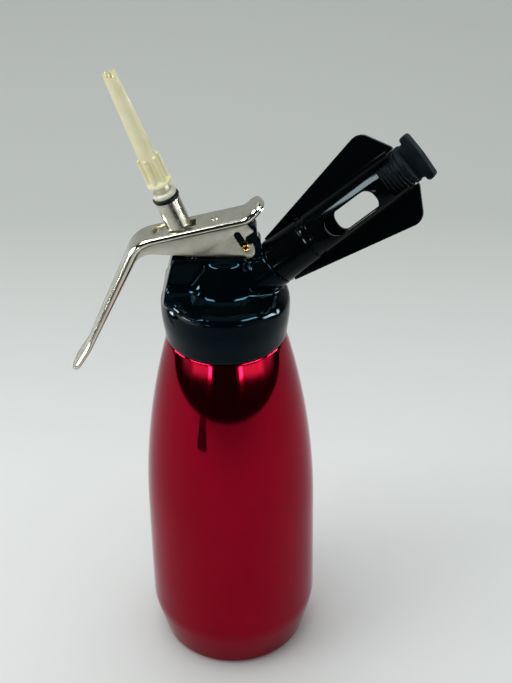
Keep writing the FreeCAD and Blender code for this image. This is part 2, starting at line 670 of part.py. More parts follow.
def make_head():
    boss = turned([(0, -BOSS_LENGTH), (BOSS_RADIUS, -BOSS_LENGTH),
                   (BOSS_RADIUS, 0, BOSS_EDGE_ROUND), (0, 0)])
    boss = placed(boss, CHARGER_FRAME)
    body = make_dome().fuse([make_pedestal(), make_front_wall(), make_post(), boss])
    body = body.removeSplitter().cut(make_cheek_room())
    body = body.cut(rod(BORE_RADIUS, NECK_Z - PAST, GASKET_TOP))
    body = body.fuse(placed(rod(SEAT_RADIUS, SEAT_FACE, GUIDE_END), VALVE_FRAME))
    stem_bore = rod(GUIDE_RADIUS, SEAT_FACE - PAST, GUIDE_TOP)
    pocket = rod(SPRING_POCKET, GUIDE_TOP - GUIDE_FLANGE, 0)
    gas_bore = rod(STUD_SHANK_RADIUS, -STUD_SHANK, PAST).fuse(rod(GAS_HOLE_RADIUS, GAS_TURN, 0))
    turn_point = CHARGER_FRAME.multVec(vec(0, 0, GAS_TURN))
    drop = rod(GAS_HOLE_RADIUS, GASKET_TOP - PAST, turn_point.z)
    drop.translate(vec(turn_point.x, 0, 0))
    pin_bore = cross_rod(PIN_RADIUS, LEVER_WIDTH, PIN_X, PIN_Z)
    return body.cut([placed(stem_bore.fuse(pocket), VALVE_FRAME), placed(gas_bore, CHARGER_FRAME),
                     drop, pin_bore]).removeSplitter()


# ---------------------------------------------------------------- lever


def strap_stations():
    """Points, directions and lengths along the strap's middle line, lip first."""
    corners = [LIP_END, LIP_BEND, HANDLE_BEND, HANDLE_KINK, HANDLE_TIP]
    radii = [0, LIP_BEND_RADIUS, HANDLE_BEND_RADIUS, KINK_RADIUS, 0]
    points = [vec(x, 0, z) for x, z in corners]
    stations = []

    def add(point, direction):
        length = 0.0
        if stations:
            length = stations[-1][2] + point.distanceToPoint(stations[-1][0])
        stations.append((point, direction, length))

    add(points[0], (points[1] - points[0]).normalize())
    for i in range(1, len(points) - 1):
        into = (points[i] - points[i - 1]).normalize()
        out = (points[i + 1] - points[i]).normalize()
        angle = into.getAngle(out)
        setback = radii[i] * math.tan(angle / 2)
        centre = points[i] + (out - into).normalize() * (radii[i] / math.cos(angle / 2))
        axis = into.cross(out)
        steps = math.ceil(math.degrees(angle) / ARC_STEP)
        start = points[i] - into * setback
        for k in range(steps + 1):
            spin = FreeCAD.Rotation(axis, math.degrees(angle) * k / steps)
            add(centre + spin.multVec(start - centre), spin.multVec(into))
    add(points[-1], (points[-1] - points[-2]).normalize())
    return stations


def between(table, length):
    """Value at length, straight between the table's (length, value) rows."""
    for (l0, v0), (l1, v1) in zip(table, table[1:]):
        if length <= l1:
            return v0 + (v1 - v0) * (length - l0) / (l1 - l0)
    return table[-1][1]


def strap_section(point, direction, width, edge):
    """Outline across the strap: flat faces and fully rounded edges."""
    normal = vec(0, 1, 0).cross(direction)
    half = (width - edge) / 2
    across = vec(0, 1, 0)

    def at(y, n):
        return point + across * y + normal * n

    r = edge / 2
    return Part.Wire([Part.makeLine(at(-half, r), at(half, r)),
                      Part.Arc(at(half, r), at(half + r, 0), at(half, -r)).toShape(),
                      Part.makeLine(at(half, -r), at(-half, -r)),
                      Part.Arc(at(-half, -r), at(-half - r, 0), at(-half, r)).toShape()])


def strap_size(length, total):
    """Width and thickness of the strap at a length, leaving out its rounded ends."""
    bend = LIP_LENGTH + PLATE_LENGTH
    kink = total - HANDLE_END_LENGTH
    widths = [(0, LEVER_WIDTH), (bend, LEVER_WIDTH), (kink, HANDLE_WAIST_WIDTH),
              (total - STRAP_END_ROUND, HANDLE_TIP_WIDTH), (total, HANDLE_TIP_WIDTH)]
    edges = [(0, LEVER_EDGE), (bend - HANDLE_BEND_RADIUS / 2, LEVER_EDGE),
             (bend + HANDLE_BEND_RADIUS / 2, HANDLE_TOP_EDGE), (kink, HANDLE_WAIST_EDGE),
             (total, HANDLE_TIP_EDGE)]
    return between(widths, length), between(edges, length)


def make_lever_strap():
    stations = strap_stations()
    total = stations[-1][2]
    steps = [1 - math.cos(math.pi / 2 * k / END_STEPS) for k in range(END_STEPS + 1)]
    lengths = [STRAP_END_ROUND * k for k in steps]
    lengths += [s[2] for s in stations if STRAP_END_ROUND < s[2] < total - STRAP_END_ROUND]
    lengths += [total - STRAP_END_ROUND * k for k in reversed(steps)]
    sections = []
    for length in lengths:
        point, direction = along(stations, length)
        width, edge = strap_size(length, total)
        inset = max(0.0, 1 - min(length, total - length) / STRAP_END_ROUND)
        narrowest = edge + STRAP_END_FLAT
        width = narrowest + (width - narrowest) * math.sqrt(1 - inset ** 2)
        sections.append(strap_section(point, direction, width, edge))
    return Part.makeLoft(sections, True, True)


def along(stations, length):
    """Point and direction at a length along the strap."""
    for (p0, d0, l0), (p1, d1, l1) in zip(stations, stations[1:]):
        if length <= l1:
            share = (length - l0) / (l1 - l0)
            return p0 + (p1 - p0) * share, (d0 + (d1 - d0) * share).normalize()
    return stations[-1][0], stations[-1][1]


def make_handle_hollow():
    """Room under the handle, whose sheet is only folded down at its sides."""
    stations = strap_stations()
    total = stations[-1][2]
    start = LIP_LENGTH + PLATE_LENGTH + HANDLE_BEND_RADIUS
    end = total - STRAP_END_ROUND
    sections = []
    for length in [start] + [s[2] for s in stations if start < s[2] < end] + [end]:
        point, direction = along(stations, length)
        normal = vec(0, 1, 0).cross(direction)
        width, edge = strap_size(length, total)
        half = width / 2 - LEVER_SHEET
        low, high = normal * -edge, normal * (edge / 2 - LEVER_SHEET)
        left, right = point - vec(0, half, 0), point + vec(0, half, 0)
        sections.append(Part.makePolygon([left + low, right + low, right + high, left + high,
                                          left + low]))
    return Part.makeLoft(sections, True, True)


def through_plate(radius, x):
    """Cylinder square to the lever's plate, through its sheets at x."""
    drill = rod(radius, -LEVER_EDGE - PAST, PAST)
    drill.translate(vec(plate_u(x), 0, 0))
    return placed(drill, PLATE_FRAME)


def plate_box(x0, x1, half, low, high):
    """Box in line with the lever's plate, between the places above x0 and x1."""
    return placed(box(plate_u(x0), plate_u(x1), -half, half, low, high), PLATE_FRAME)


def make_lever_handle():
    pocket = plate_box(BRACKET_START_X, BRACKET_END_X, CHEEK_HALF + BRACKET_SIDE_GAP,
                       -LEVER_EDGE - PAST, -LEVER_SHEET)
    slot = plate_box(KEYHOLE_X, SLOT_END_X, STEM_RADIUS + SLOT_CLEARANCE, -LEVER_EDGE, PAST)
    keyhole = through_plate(KEYHOLE_RADIUS, KEYHOLE_X)
    rivet_hole = through_plate(RIVET_RADIUS, RIVET_X)
    return make_lever_strap().cut([pocket, slot, keyhole, rivet_hole, make_handle_hollow()])


def from_pin(*offsets):
    """Corners given from the pin, placed; a third value is the corner's round."""
    return [(PIN_X + c[0], PIN_Z + c[1], *c[2:]) for c in offsets]


def make_keyway():
    """Slanted slot in the cheeks that the hook drops over the pin through."""
    radius = PIN_RADIUS + PIN_FIT
    upper = vec(PIN_X - KEYWAY_LEAN, 0, PIN_Z + KEYWAY_RISE)
    pin = vec(PIN_X, 0, PIN_Z)
    side = vec(-KEYWAY_RISE, 0, -KEYWAY_LEAN).normalize() * radius
    corners = [upper + side, pin + side, pin - side, upper - side]
    slot = slab([(c.x, c.z) for c in corners], LEVER_WIDTH)
    ends = [cross_rod(radius, LEVER_WIDTH, c.x, c.z) for c in (upper, pin)]
    return slot.fuse(ends)


def make_lever_bracket():
    sheet = LEVER_SHEET / LEVER_COS
    start, end = BRACKET_START_X, BRACKET_END_X - POCKET_GAP
    outline = [HANDLE_BEND, (start, plate_top_z(start) - sheet), (end, plate_top_z(end) - sheet)]
    outline += from_pin(HOOK_TOP, HOOK_TIP, HOOK_THROAT, MOUTH_FLOOR, MOUTH_LIP, CHEEK_BACK,
                        CHEEK_HEEL, CHEEK_WAIST, CHEEK_TAIL, CHEEK_TAIL_END)
    whole = slab(outline, CHEEK_HALF)
    inner = plate_box(HANDLE_KINK[0], POST_BACK_X + PAST, CHEEK_HALF - BRACKET_SHEET,
                      -HANDLE_LENGTH, -LEVER_SHEET - BRACKET_SHEET)
    stem_slot = plate_box(VALVE_X - STEM_SLOT_FRONT, SLOT_END_X, STEM_RADIUS + SLOT_CLEARANCE,
                          -LEVER_EDGE - PAST, PAST)
    return whole.cut([inner, make_keyway(), stem_slot, through_plate(RIVET_RADIUS, RIVET_X),
                      make_lever_handle()])


def make_lever_rivet():
    under = -LEVER_SHEET - BRACKET_SHEET
    low = under - RIVET_TAIL_HEIGHT
    rivet = turned([(0, low), (RIVET_HEAD_RADIUS, low), (RIVET_HEAD_RADIUS, under),
                    (RIVET_RADIUS, under), (RIVET_RADIUS, 0), (RIVET_HEAD_RADIUS, 0),
                    (RIVET_HEAD_RADIUS, RIVET_RIM_HEIGHT), (RIVET_CROWN_RADIUS, RIVET_HEAD_HEIGHT),
                    (0, RIVET_HEAD_HEIGHT)])
    rivet.translate(vec(plate_u(RIVET_X), 0, 0))
    return placed(rivet, PLATE_FRAME)


def make_pivot_pin():
    half = CHEEK_HALF + PIN_OVERHANG
    pin = cross_rod(PIN_RADIUS, half, PIN_X, PIN_Z)
    return pin.cut(cross_rod(PIN_BORE, half + PAST, PIN_X, PIN_Z))


# ---------------------------------------------------------------- valve


def make_valve_stem():
    wide = rod(TUBE_RADIUS, TUBE_FOOT, TUBE_TOP)
    stem = wide.fuse(rod(STEM_RADIUS, STEM_END, TUBE_FOOT)).removeSplitter()
    floor = TUBE_FOOT + TUBE_FLOOR
    cuts = [rod(TUBE_BORE, floor, TUBE_TOP + PAST),
            rod(STEM_BORE, CROSS_HOLE - CROSS_HOLE_RADIUS, floor)]
    for direction in (vec(1, 0, 0), vec(0, 1, 0)):
        start = vec(0, 0, CROSS_HOLE) - direction * TUBE_RADIUS
        cuts.append(Part.makeCylinder(CROSS_HOLE_RADIUS, 2 * TUBE_RADIUS, start, direction))
    return placed(stem.cut(cuts), VALVE_FRAME)


def make_stem_collar():
    return placed(tube(COLLAR_RADIUS, STEM_RADIUS, COLLAR_BOTTOM, COLLAR_TOP), VALVE_FRAME)


def make_valve_spring():
    """Open coils between the guide's flange and the collar."""
    wire = SPRING_WIRE / 2
    bottom = GUIDE_TOP + wire
    height = COLLAR_BOTTOM - wire - bottom
    helix = Part.makeHelix(height / SPRING_TURNS, height, SPRING_RADIUS)
    section = Part.Wire([Part.makeCircle(wire, vec(SPRING_RADIUS, 0, 0), vec(0, 1, 0))])
    coil = Part.Wire(helix.Edges).makePipeShell([section], True, True)
    coil.translate(vec(0, 0, bottom))
    return placed(coil, VALVE_FRAME)


def make_valve_guide():
    flange = rod(SPRING_POCKET - GUIDE_FLANGE_GAP, GUIDE_TOP - GUIDE_FLANGE, GUIDE_TOP)
    sleeve = rod(GUIDE_RADIUS, GUIDE_END, GUIDE_TOP)
    bore = rod(STEM_RADIUS + STEM_FIT, GUIDE_END - PAST, GUIDE_TOP + PAST)
    return placed(flange.fuse(sleeve).removeSplitter().cut(bore), VALVE_FRAME)


def make_stem_o_ring():
    wire = GUIDE_WALL / 2 - RING_SQUEEZE
    ring = Part.makeTorus(STEM_RADIUS + GUIDE_WALL / 2, wire,
                          vec(0, 0, GUIDE_END - wire - RING_SQUEEZE))
    return placed(ring, VALVE_FRAME)


def make_poppet_seal():
    return placed(tube(POPPET_SEAL_RADIUS, STEM_RADIUS, SEAL_BOTTOM, SEAT_FACE), VALVE_FRAME)


def make_valve_poppet():
    disc = turned([(STEM_RADIUS, POPPET_BOTTOM), (POPPET_RADIUS - POPPET_CHAMFER, POPPET_BOTTOM),
                   (POPPET_RADIUS, POPPET_BOTTOM + POPPET_CHAMFER), (POPPET_RADIUS, SEAL_BOTTOM),
                   (STEM_RADIUS, SEAL_BOTTOM)])
    return placed(disc, VALVE_FRAME)


def make_poppet_nut():
    across = NUT_ACROSS_FLATS / 2 / math.cos(math.pi / NUT_SIDES)
    angles = [2 * math.pi * i / NUT_SIDES for i in range(NUT_SIDES)]
    corners = [(across * math.cos(a), across * math.sin(a)) for a in angles]
    face = Part.Face(rounded_wire(corners, "xy"))
    face.translate(vec(0, 0, NUT_BOTTOM))
    nut = face.extrude(vec(0, 0, NUT_THICKNESS))
    return placed(nut.cut(rod(STEM_RADIUS, NUT_BOTTOM - PAST, POPPET_BOTTOM + PAST)), VALVE_FRAME)


# ---------------------------------------------------------------- nozzle


def make_spout_o_ring():
    ring = Part.makeTorus(SPOUT_RING_RADIUS - SPOUT_RING_WIRE, SPOUT_RING_WIRE,
                          vec(0, 0, TUBE_TOP + SPOUT_RING_WIRE))
    return placed(ring, VALVE_FRAME)


def make_nozzle_adapter():
    shank = TUBE_BORE - ADAPTER_CLEARANCE
    shank_end = RING_TOP - ADAPTER_SHANK
    neck_top = TIP_START + TIP_SOCKET_DEPTH - TIP_SOCKET_GAP
    body = turned([(ADAPTER_BORE, shank_end), (shank, shank_end, ADAPTER_ROUND),
                   (shank, RING_TOP), (ADAPTER_FLANGE_RADIUS, RING_TOP, ADAPTER_ROUND),
                   (ADAPTER_FLANGE_RADIUS, FLANGE_TOP - ADAPTER_CHAMFER, ADAPTER_ROUND),
                   (ADAPTER_FLANGE_RADIUS - ADAPTER_CHAMFER, FLANGE_TOP, ADAPTER_ROUND),
                   (ADAPTER_NECK_RADIUS, FLANGE_TOP), (ADAPTER_NECK_RADIUS, neck_top, ADAPTER_ROUND),
                   (ADAPTER_BORE, neck_top)])
    return placed(body, VALVE_FRAME)


def make_tip_ribs():
    """Upright half-round ribs round the tip's base, rounded at their tops."""
    ribs = []
    reach = TIP_BASE_RADIUS - TIP_RIB_SINK
    length = TIP_BASE_LENGTH - TIP_RIB_START
    for i in range(TIP_RIBS):
        angle = 2 * math.pi * (i + TIP_RIB_PHASE) / TIP_RIBS
        foot = vec(reach * math.cos(angle), reach * math.sin(angle), TIP_START + TIP_RIB_START)
        ribs.append(Part.makeCylinder(TIP_RIB_RADIUS, length, foot))
        ribs.append(Part.makeSphere(TIP_RIB_RADIUS, foot + vec(0, 0, length)))
    return ribs


def make_tip_notches():
    """Wedges that leave the teeth round the tip's mouth."""
    half = math.pi * TIP_MOUTH_RADIUS / TIP_TEETH * TIP_TOOTH_SHARE
    notches = []
    for i in range(TIP_TEETH):
        corners = [vec(0, -half, TIP_END + SKIN), vec(0, half, TIP_END + SKIN),
                   vec(0, 0, TIP_END - TIP_TOOTH_DEPTH), vec(0, -half, TIP_END + SKIN)]
        wedge = Part.Face(Part.makePolygon(corners)).extrude(vec(TIP_BASE_RADIUS, 0, 0))
        wedge.rotate(vec(0, 0, 0), vec(0, 0, 1), 360.0 * i / TIP_TEETH)
        notches.append(wedge)
    return notches


def make_decorating_tip():
    rim_top = TIP_START + TIP_RIM_HEIGHT
    body = turned([(0, TIP_START), (TIP_RIM_RADIUS, TIP_START, ADAPTER_ROUND),
                   (TIP_RIM_RADIUS, rim_top, ADAPTER_ROUND),
                   (TIP_BASE_RADIUS, rim_top + TIP_RIM_SLOPE),
                   (TIP_CONE_RADIUS, TIP_START + TIP_BASE_LENGTH),
                   (TIP_MOUTH_RADIUS, TIP_END), (0, TIP_END)])
    socket_top = TIP_START + TIP_SOCKET_DEPTH
    hollow = turned([(0, TIP_START - PAST), (TIP_SOCKET_RADIUS, TIP_START - PAST),
                     (TIP_SOCKET_RADIUS, socket_top),
                     (TIP_CONE_RADIUS - TIP_SHOULDER_WALL, socket_top),
                     (TIP_MOUTH_RADIUS - TIP_WALL, TIP_END + PAST), (0, TIP_END + PAST)])
    return placed(body.fuse(make_tip_ribs()).cut([hollow] + make_tip_notches()), VALVE_FRAME)


# ---------------------------------------------------------------- charger side


def make_charger_stud():
    rings = int((STUD_LENGTH - STUD_COLLAR) / PLUG_THREAD_PITCH)
    outline = [(0, -STUD_SHANK), (STUD_SHANK_RADIUS, -STUD_SHANK), (STUD_SHANK_RADIUS, 0),
               (STUD_THREAD_RADIUS, 0), (STUD_THREAD_RADIUS, STUD_COLLAR - SKIN)]
    outline += thread_corners(STUD_THREAD_RADIUS, STUD_THREAD_DEPTH, PLUG_THREAD_PITCH,
                              STUD_COLLAR, rings)
    outline += [(STUD_ROOT_RADIUS, STUD_LENGTH), (0, STUD_LENGTH)]
    cup = rod(STUD_CUP_RADIUS, STUD_CUP_FLOOR, STUD_LENGTH + PAST)
    gas_hole = rod(GAS_HOLE_RADIUS, -STUD_SHANK - PAST, STUD_CUP_FLOOR)
    return placed(turned(outline).cut(cup.fuse(gas_hole)), CHARGER_FRAME)


def make_piercing_pin():
    top = STUD_CUP_FLOOR + PIERCER_LENGTH
    flange_top = STUD_CUP_FLOOR + PIERCER_FLANGE
    pin = turned([(0, STUD_CUP_FLOOR), (PIERCER_FLANGE_RADIUS, STUD_CUP_FLOOR),
                  (PIERCER_FLANGE_RADIUS, flange_top), (PIERCER_NEEDLE_RADIUS, flange_top),
                  (PIERCER_NEEDLE_RADIUS, top - PIERCER_POINT), (0, top)])
    return placed(pin, CHARGER_FRAME)


def make_stud_seal():
    low = STUD_CUP_FLOOR + PIERCER_FLANGE
    ring = tube(STUD_CUP_RADIUS - STUD_SEAL_FIT, PIERCER_NEEDLE_RADIUS + STUD_SEAL_FIT,
                low, low + STUD_SEAL_THICKNESS)
    return placed(ring, CHARGER_FRAME)


def make_check_valve():
    """Mushroom-shaped flap: its stem stands in the gas hole, its cap under the ceiling."""
    x = CHARGER_FRAME.multVec(vec(0, 0, GAS_TURN)).x
    stem = GAS_HOLE_RADIUS - CHECK_VALVE_FIT
    low, high = GASKET_TOP - CHECK_VALVE_CAP, GASKET_TOP + CHECK_VALVE_STEM
    cap = turned([(0, low), (CHECK_VALVE_FACE_RADIUS, low),
                  (CHECK_VALVE_RADIUS, GASKET_TOP - CHECK_VALVE_EDGE),
                  (CHECK_VALVE_RADIUS, GASKET_TOP), (stem, GASKET_TOP), (stem, high), (0, high)])
    cap.translate(vec(x, 0, 0))
    return cap


def make_holder_body():
    return turned([(0, HOLDER_START), (HOLDER_RADIUS, HOLDER_START, HOLDER_EDGE_ROUND),
                   (HOLDER_RADIUS, HOLDER_COLLAR_END, HOLDER_EDGE_ROUND),
                   (HOLDER_GROOVE_RADIUS, HOLDER_COLLAR_END + HOLDER_GROOVE_RAMP),
                   (HOLDER_GROOVE_RADIUS, HOLDER_GROOVE_END - HOLDER_GROOVE_RAMP),
                   (HOLDER_RADIUS, HOLDER_GROOVE_END, HOLDER_EDGE_ROUND),
                   (HOLDER_RADIUS, HOLDER_END - HOLDER_TAPER_LENGTH),
                   (HOLDER_RADIUS - HOLDER_END_TAPER, HOLDER_END, HOLDER_EDGE_ROUND),
                   (0, HOLDER_END)])


def make_wings():
    """Flat plate through the body; its two wings give the hand a grip."""
    root = HOLDER_RADIUS + WING_ROOT_STEP
    inside = HOLDER_RADIUS - HOLDER_EDGE_ROUND
    end_s = HOLDER_END + WING_END_RISE
    return slab([(-root, WING_ROOT_S), (root, WING_ROOT_S),
                 (WING_CORNER_X, WING_CORNER_S, WING_CORNER_ROUND), (inside, end_s),
                 (-inside, end_s), (-WING_CORNER_X, WING_CORNER_S, WING_CORNER_ROUND)],
                WING_THICKNESS / 2)


def make_charger_holder():
    left = WINDOW_SIDE_OFFSET - WINDOW_WIDTH / 2
    right = WINDOW_SIDE_OFFSET + WINDOW_WIDTH / 2
    high = HOLDER_END - WINDOW_DROP
    low = high - WINDOW_LENGTH
    window = slab([(left, low, WINDOW_ROUND), (right, low, WINDOW_ROUND),
                   (right, high, WINDOW_ROUND), (left, high, WINDOW_ROUND)], 2 * HOLDER_RADIUS)
    thread_bore = rod(HOLDER_THREAD_BORE, HOLDER_START - PAST, HOLDER_THREAD_LENGTH)
    chamber = rod(HOLDER_BORE, HOLDER_THREAD_LENGTH, HOLDER_END + WING_END_RISE + PAST)
    notch = box(-NOTCH_WIDTH / 2, NOTCH_WIDTH / 2, -2 * HOLDER_RADIUS, 2 * HOLDER_RADIUS,
                HOLDER_END - NOTCH_DEPTH, HOLDER_END + WING_END_RISE + PAST)
    body = make_holder_body().fuse(make_wings())
    return placed(body.cut([window, thread_bore, chamber, notch]), CHARGER_FRAME)


def make_plug_shank():
    start = HOLDER_END - PLUG_SHANK_LENGTH
    thread_end = HOLDER_END + PLUG_THREAD_END
    ledge_end = thread_end + PLUG_LEDGE
    rings = int((thread_end - start) / PLUG_THREAD_PITCH)
    outline = [(0, start)]
    outline += thread_corners(PLUG_CREST_RADIUS, PLUG_THREAD_DEPTH, PLUG_THREAD_PITCH,
                              start, rings)
    outline += [(PLUG_ROOT_RADIUS, thread_end), (PLUG_CREST_RADIUS, thread_end),
                (PLUG_CREST_RADIUS, ledge_end), (0, ledge_end)]
    return turned(outline).cut(rod(PLUG_BORE, start - PAST, HOLDER_END + PLUG_FLOOR))


def make_plug_grip():
    """Bar across the plug's end, on a short stem, for two fingers."""
    foot = HOLDER_END + PLUG_THREAD_END + PLUG_LEDGE
    bar = foot + PLUG_STEM_HEIGHT
    top = bar + PLUG_BAR_HEIGHT
    half, stem_half = PLUG_BAR_WIDTH / 2, PLUG_STEM_WIDTH / 2
    shoulder = top - PLUG_BAR_CROWN
    right = [(stem_half, foot - PLUG_LEDGE / 2), (stem_half, bar, PLUG_STEM_ROUND),
             (half, bar, PLUG_BAR_ROUND), (half, shoulder, PLUG_BAR_ROUND)]
    left = [(-x, *rest) for x, *rest in reversed(right)]
    return slab(right + [(0, top, PLUG_BAR_BEND)] + left, PLUG_THICKNESS / 2)


def make_end_plug():
    return placed(make_plug_shank().fuse(make_plug_grip()), CHARGER_FRAME)


# ---------------------------------------------------------------- nodes

NODES = {
    "bottle": make_bottle,
    "head_gasket": make_head_gasket,
    "head": make_head,
    "lever_handle": make_lever_handle,
    "lever_bracket": make_lever_bracket,
    "lever_rivet": make_lever_rivet,
    "pivot_pin": make_pivot_pin,
    "valve_stem": make_valve_stem,
    "stem_collar": make_stem_collar,
    "valve_spring": make_valve_spring,
    "valve_guide": make_valve_guide,
    "stem_o_ring": make_stem_o_ring,
    "poppet_seal": make_poppet_seal,
    "valve_poppet": make_valve_poppet,
    "poppet_nut": make_poppet_nut,
    "spout_o_ring": make_spout_o_ring,
    "nozzle_adapter": make_nozzle_adapter,
    "decorating_tip": make_decorating_tip,
    "charger_stud": make_charger_stud,
    "piercing_pin": make_piercing_pin,
    "stud_seal": make_stud_seal,
    "check_valve": make_check_valve,
    "charger_holder": make_charger_holder,
    "end_plug": make_end_plug,
}

os.makedirs("parts", exist_ok=True)
for name, make in NODES.items():
    solid = make()
    box_of = solid.BoundBox
    print(f"{name:16s} {solid.ShapeType:9s} solids {len(solid.Solids)} valid {solid.isValid()} "
          f"volume {solid.Volume:10.1f}  x {box_of.XMin:.1f}..{box_of.XMax:.1f} "
          f"y {box_of.YMin:.1f}..{box_of.YMax:.1f} z {box_of.ZMin:.1f}..{box_of.ZMax:.1f}")
    solid.exportStep(f"parts/{name}.step")
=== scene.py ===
import json
import math

import bmesh
import bpy
import numpy as np
from mathutils import Matrix, Vector


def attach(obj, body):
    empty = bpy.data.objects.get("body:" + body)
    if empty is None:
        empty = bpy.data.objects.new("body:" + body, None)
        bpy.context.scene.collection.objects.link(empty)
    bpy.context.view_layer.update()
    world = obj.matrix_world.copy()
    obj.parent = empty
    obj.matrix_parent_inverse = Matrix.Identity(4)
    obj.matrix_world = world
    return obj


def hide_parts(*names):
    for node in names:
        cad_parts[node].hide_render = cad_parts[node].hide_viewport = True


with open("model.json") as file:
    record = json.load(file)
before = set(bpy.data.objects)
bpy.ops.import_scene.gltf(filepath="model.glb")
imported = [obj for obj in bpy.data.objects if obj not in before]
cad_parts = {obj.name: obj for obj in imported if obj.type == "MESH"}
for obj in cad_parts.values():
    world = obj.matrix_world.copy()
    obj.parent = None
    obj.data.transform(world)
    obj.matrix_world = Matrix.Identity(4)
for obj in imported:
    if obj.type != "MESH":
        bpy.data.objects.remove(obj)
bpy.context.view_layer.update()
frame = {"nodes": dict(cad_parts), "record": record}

MM = 0.001
NODES = frame["nodes"]

# ------------------------ sizes, in millimetres

# bottle
BOTTLE_RADIUS = 42.0
BOTTLE_WALL = 1.6
BASE_EDGE_RADIUS = 36.12         # where the base's plane meets the cone above it
BASE_CORNER = 5.0
CONE_TOP_Z = 24.2
CONE_BLEND = 30.0
SIDE_TOP_Z = 83.0
SIDE_DRAFT = 0.25
SHOULDER_ARC = 392.0
NECK_Z = 186.4
LIP_Z = 205.0
NECK_RADIUS = 24.39
NECK_BORE = 22.49
THREAD_PITCH = 4.0
PUNT_RADIUS = 27.0               # the base's shallow hollow
PUNT_DEPTH = 0.9

# valve, measured along its own axis from the lever's top face
VALVE_X = -19.65
VALVE_Z = 244.364
VALVE_TILT = 19.5
TUBE_BORE = 3.55
TUBE_TOP = 14.9
RING_WIRE = 1.05
RING_RADIUS = 6.1
FLANGE_TOP = 19.6
FLANGE_RADIUS = 5.45
ADAPTER_NECK = 3.25
ADAPTER_NECK_TOP = 27.2
ADAPTER_BORE = 1.8
SPIGOT_LENGTH = 8.0
SPIGOT_PLAY = 0.06
TIP_START = 23.0
TIP_END = 79.9
TIP_RIM = 5.7
TIP_BASE = 4.0
TIP_SOCKET = 3.31
TIP_BORE = 2.95
TIP_MOUTH = 2.9
TIP_MOUTH_BORE = 2.0
TIP_RIBS = 6
TIP_TEETH = 8
TOOTH_DEPTH = 2.4
TOOTH_FADE = 9.0                 # how far down the nozzle a tooth's gap still shapes it
TOOTH_FLANK = 0.82

# head
SKIRT_RADIUS = 30.0
SKIRT_ROUND = 8.0                # the solid's shoulder
SHOULDER_ROUND = 4.0             # the tighter shoulder it is drawn out to
SHELF_Z = 212.5
BLOCK_TOP_Z = 230.9
BLOCK_DRAFT = 0.3

# charger holder, measured along its own axis from the boss's face
CHARGER_X = 23.9
CHARGER_Z = 224.5
CHARGER_SLOPE = 40.5
WING_TURN = 24.0
HOLDER_END = 71.8
PLUG_LENGTH = 11.5
PLUG_CORE = 8.45
PLUG_CUP = 6.0
PLUG_RIM = 9.15
PLUG_FOOT = 4.8
GRIP_FOOT = 8.5                  # half widths of the grip's foot and of its bar
GRIP_HALF = 11.2
GRIP_THICKNESS = 8.0

# lever, in the plane of the lever's swing
PIN_X = 9.95
PIN_Z = 235.5
PIN_RADIUS = 1.6
LEVER_SLOPE = 13.1
LEVER_WIDTH = 14.4
LEVER_EDGE = 3.6
LEVER_SHEET = 1.4
LEVER_RISE = 15.75
LIP_LENGTH = 9.45
LIP_ANGLE = 45.65
LIP_OFFSET = 0.65                # of the lip's bend from the pin
PLATE_LENGTH = 50.15
HANDLE_LENGTH = 63.7
HANDLE_LEAN = 24.5
TAIL_LENGTH = 15.15              # the handle's end leans out a little more
TAIL_LEAN = 32.3
CHEEK_HALF = 5.72
KEYHOLE_X = -27.2
KEYHOLE_RADIUS = 5.2
SLOT_END_X = -12.2
SLOT_HALF = 2.85
RIVET_X = -3.8
RIVET_SHANK = 1.2
RIVET_HEAD = 1.9
# (length from the lip, value) along the strap
STRAP_WIDTHS = ((0, LEVER_WIDTH), (59.6, LEVER_WIDTH), (118, 11.0), (132, 13.0), (200, 13.0))
STRAP_EDGES = ((0, LEVER_EDGE), (53.1, LEVER_EDGE), (66.1, 4.3), (121, 2.5), (138, 2.3),
               (200, 2.3))
STRAP_CROWN = 0.12
END_ROUND = 6.0


# ------------------------ nodes and materials


def srgb(code):
    """Linear colour from a hex code."""
    values = [int(code[i:i + 2], 16) / 255 for i in (1, 3, 5)]
    return (*(v / 12.92 if v < 0.04045 else ((v + 0.055) / 1.055) ** 2.4 for v in values), 1)


def put(tree, kind, inputs=None, **settings):
    """Add a node with its settings; inputs are values or the sockets they come from."""
    node = tree.nodes.new(kind)
    for name, value in settings.items():
        setattr(node, name, value)
    for key, value in (inputs or {}).items():
        if isinstance(value, bpy.types.NodeSocket):
            tree.links.new(value, node.inputs[key])
        else:
            node.inputs[key].default_value = value
    return node


def maths(tree, operation, first, second=0.0):
    return put(tree, "ShaderNodeMath", {0: first, 1: second}, operation=operation).outputs[0]


def finish_of(name, **values):
    """Material with a Principled shader; returns it, its tree and the shader."""
    material = bpy.data.materials.new(name)
    material.use_nodes = True
    tree = material.node_tree
    shader = tree.nodes["Principled BSDF"]
    for socket, value in values.items():
        shader.inputs[socket.replace("_", " ")].default_value = value
    return material, tree, shader


def object_point(tree, scale=(1, 1, 1), turn=(0, 0, 0)):
    """Object coordinates in millimetres, stretched to a pattern's grain."""
    place = put(tree, "ShaderNodeTexCoord")
    size = tuple(s / MM for s in scale)
    return put(tree, "ShaderNodeMapping", {"Vector": place.outputs["Object"], "Scale": size,
                                           "Rotation": turn}).outputs["Vector"]


def noise(tree, vector, grain, detail=3.0, rough=0.5):
    """Noise whose features are about grain millimetres apart."""
    return put(tree, "ShaderNodeTexNoise", {"Vector": vector, "Scale": 1 / grain, "Detail": detail,
                                            "Roughness": rough}).outputs["Fac"]


def spread(tree, value, low, high, out_low=0, out_high=1):
    """Value from low to high as out_low to out_high, held at both ends."""
    node = put(tree, "ShaderNodeMapRange", {"Value": value, "From Min": low, "From Max": high,
                                            "To Min": out_low, "To Max": out_high})
    return node.outputs["Result"]


def blend_colour(tree, share, first, second):
    return put(tree, "ShaderNodeMix", {0: share, 6: first, 7: second},
               data_type="RGBA").outputs[2]


def link(tree, source, shader, socket):
    tree.links.new(source, shader.inputs[socket])


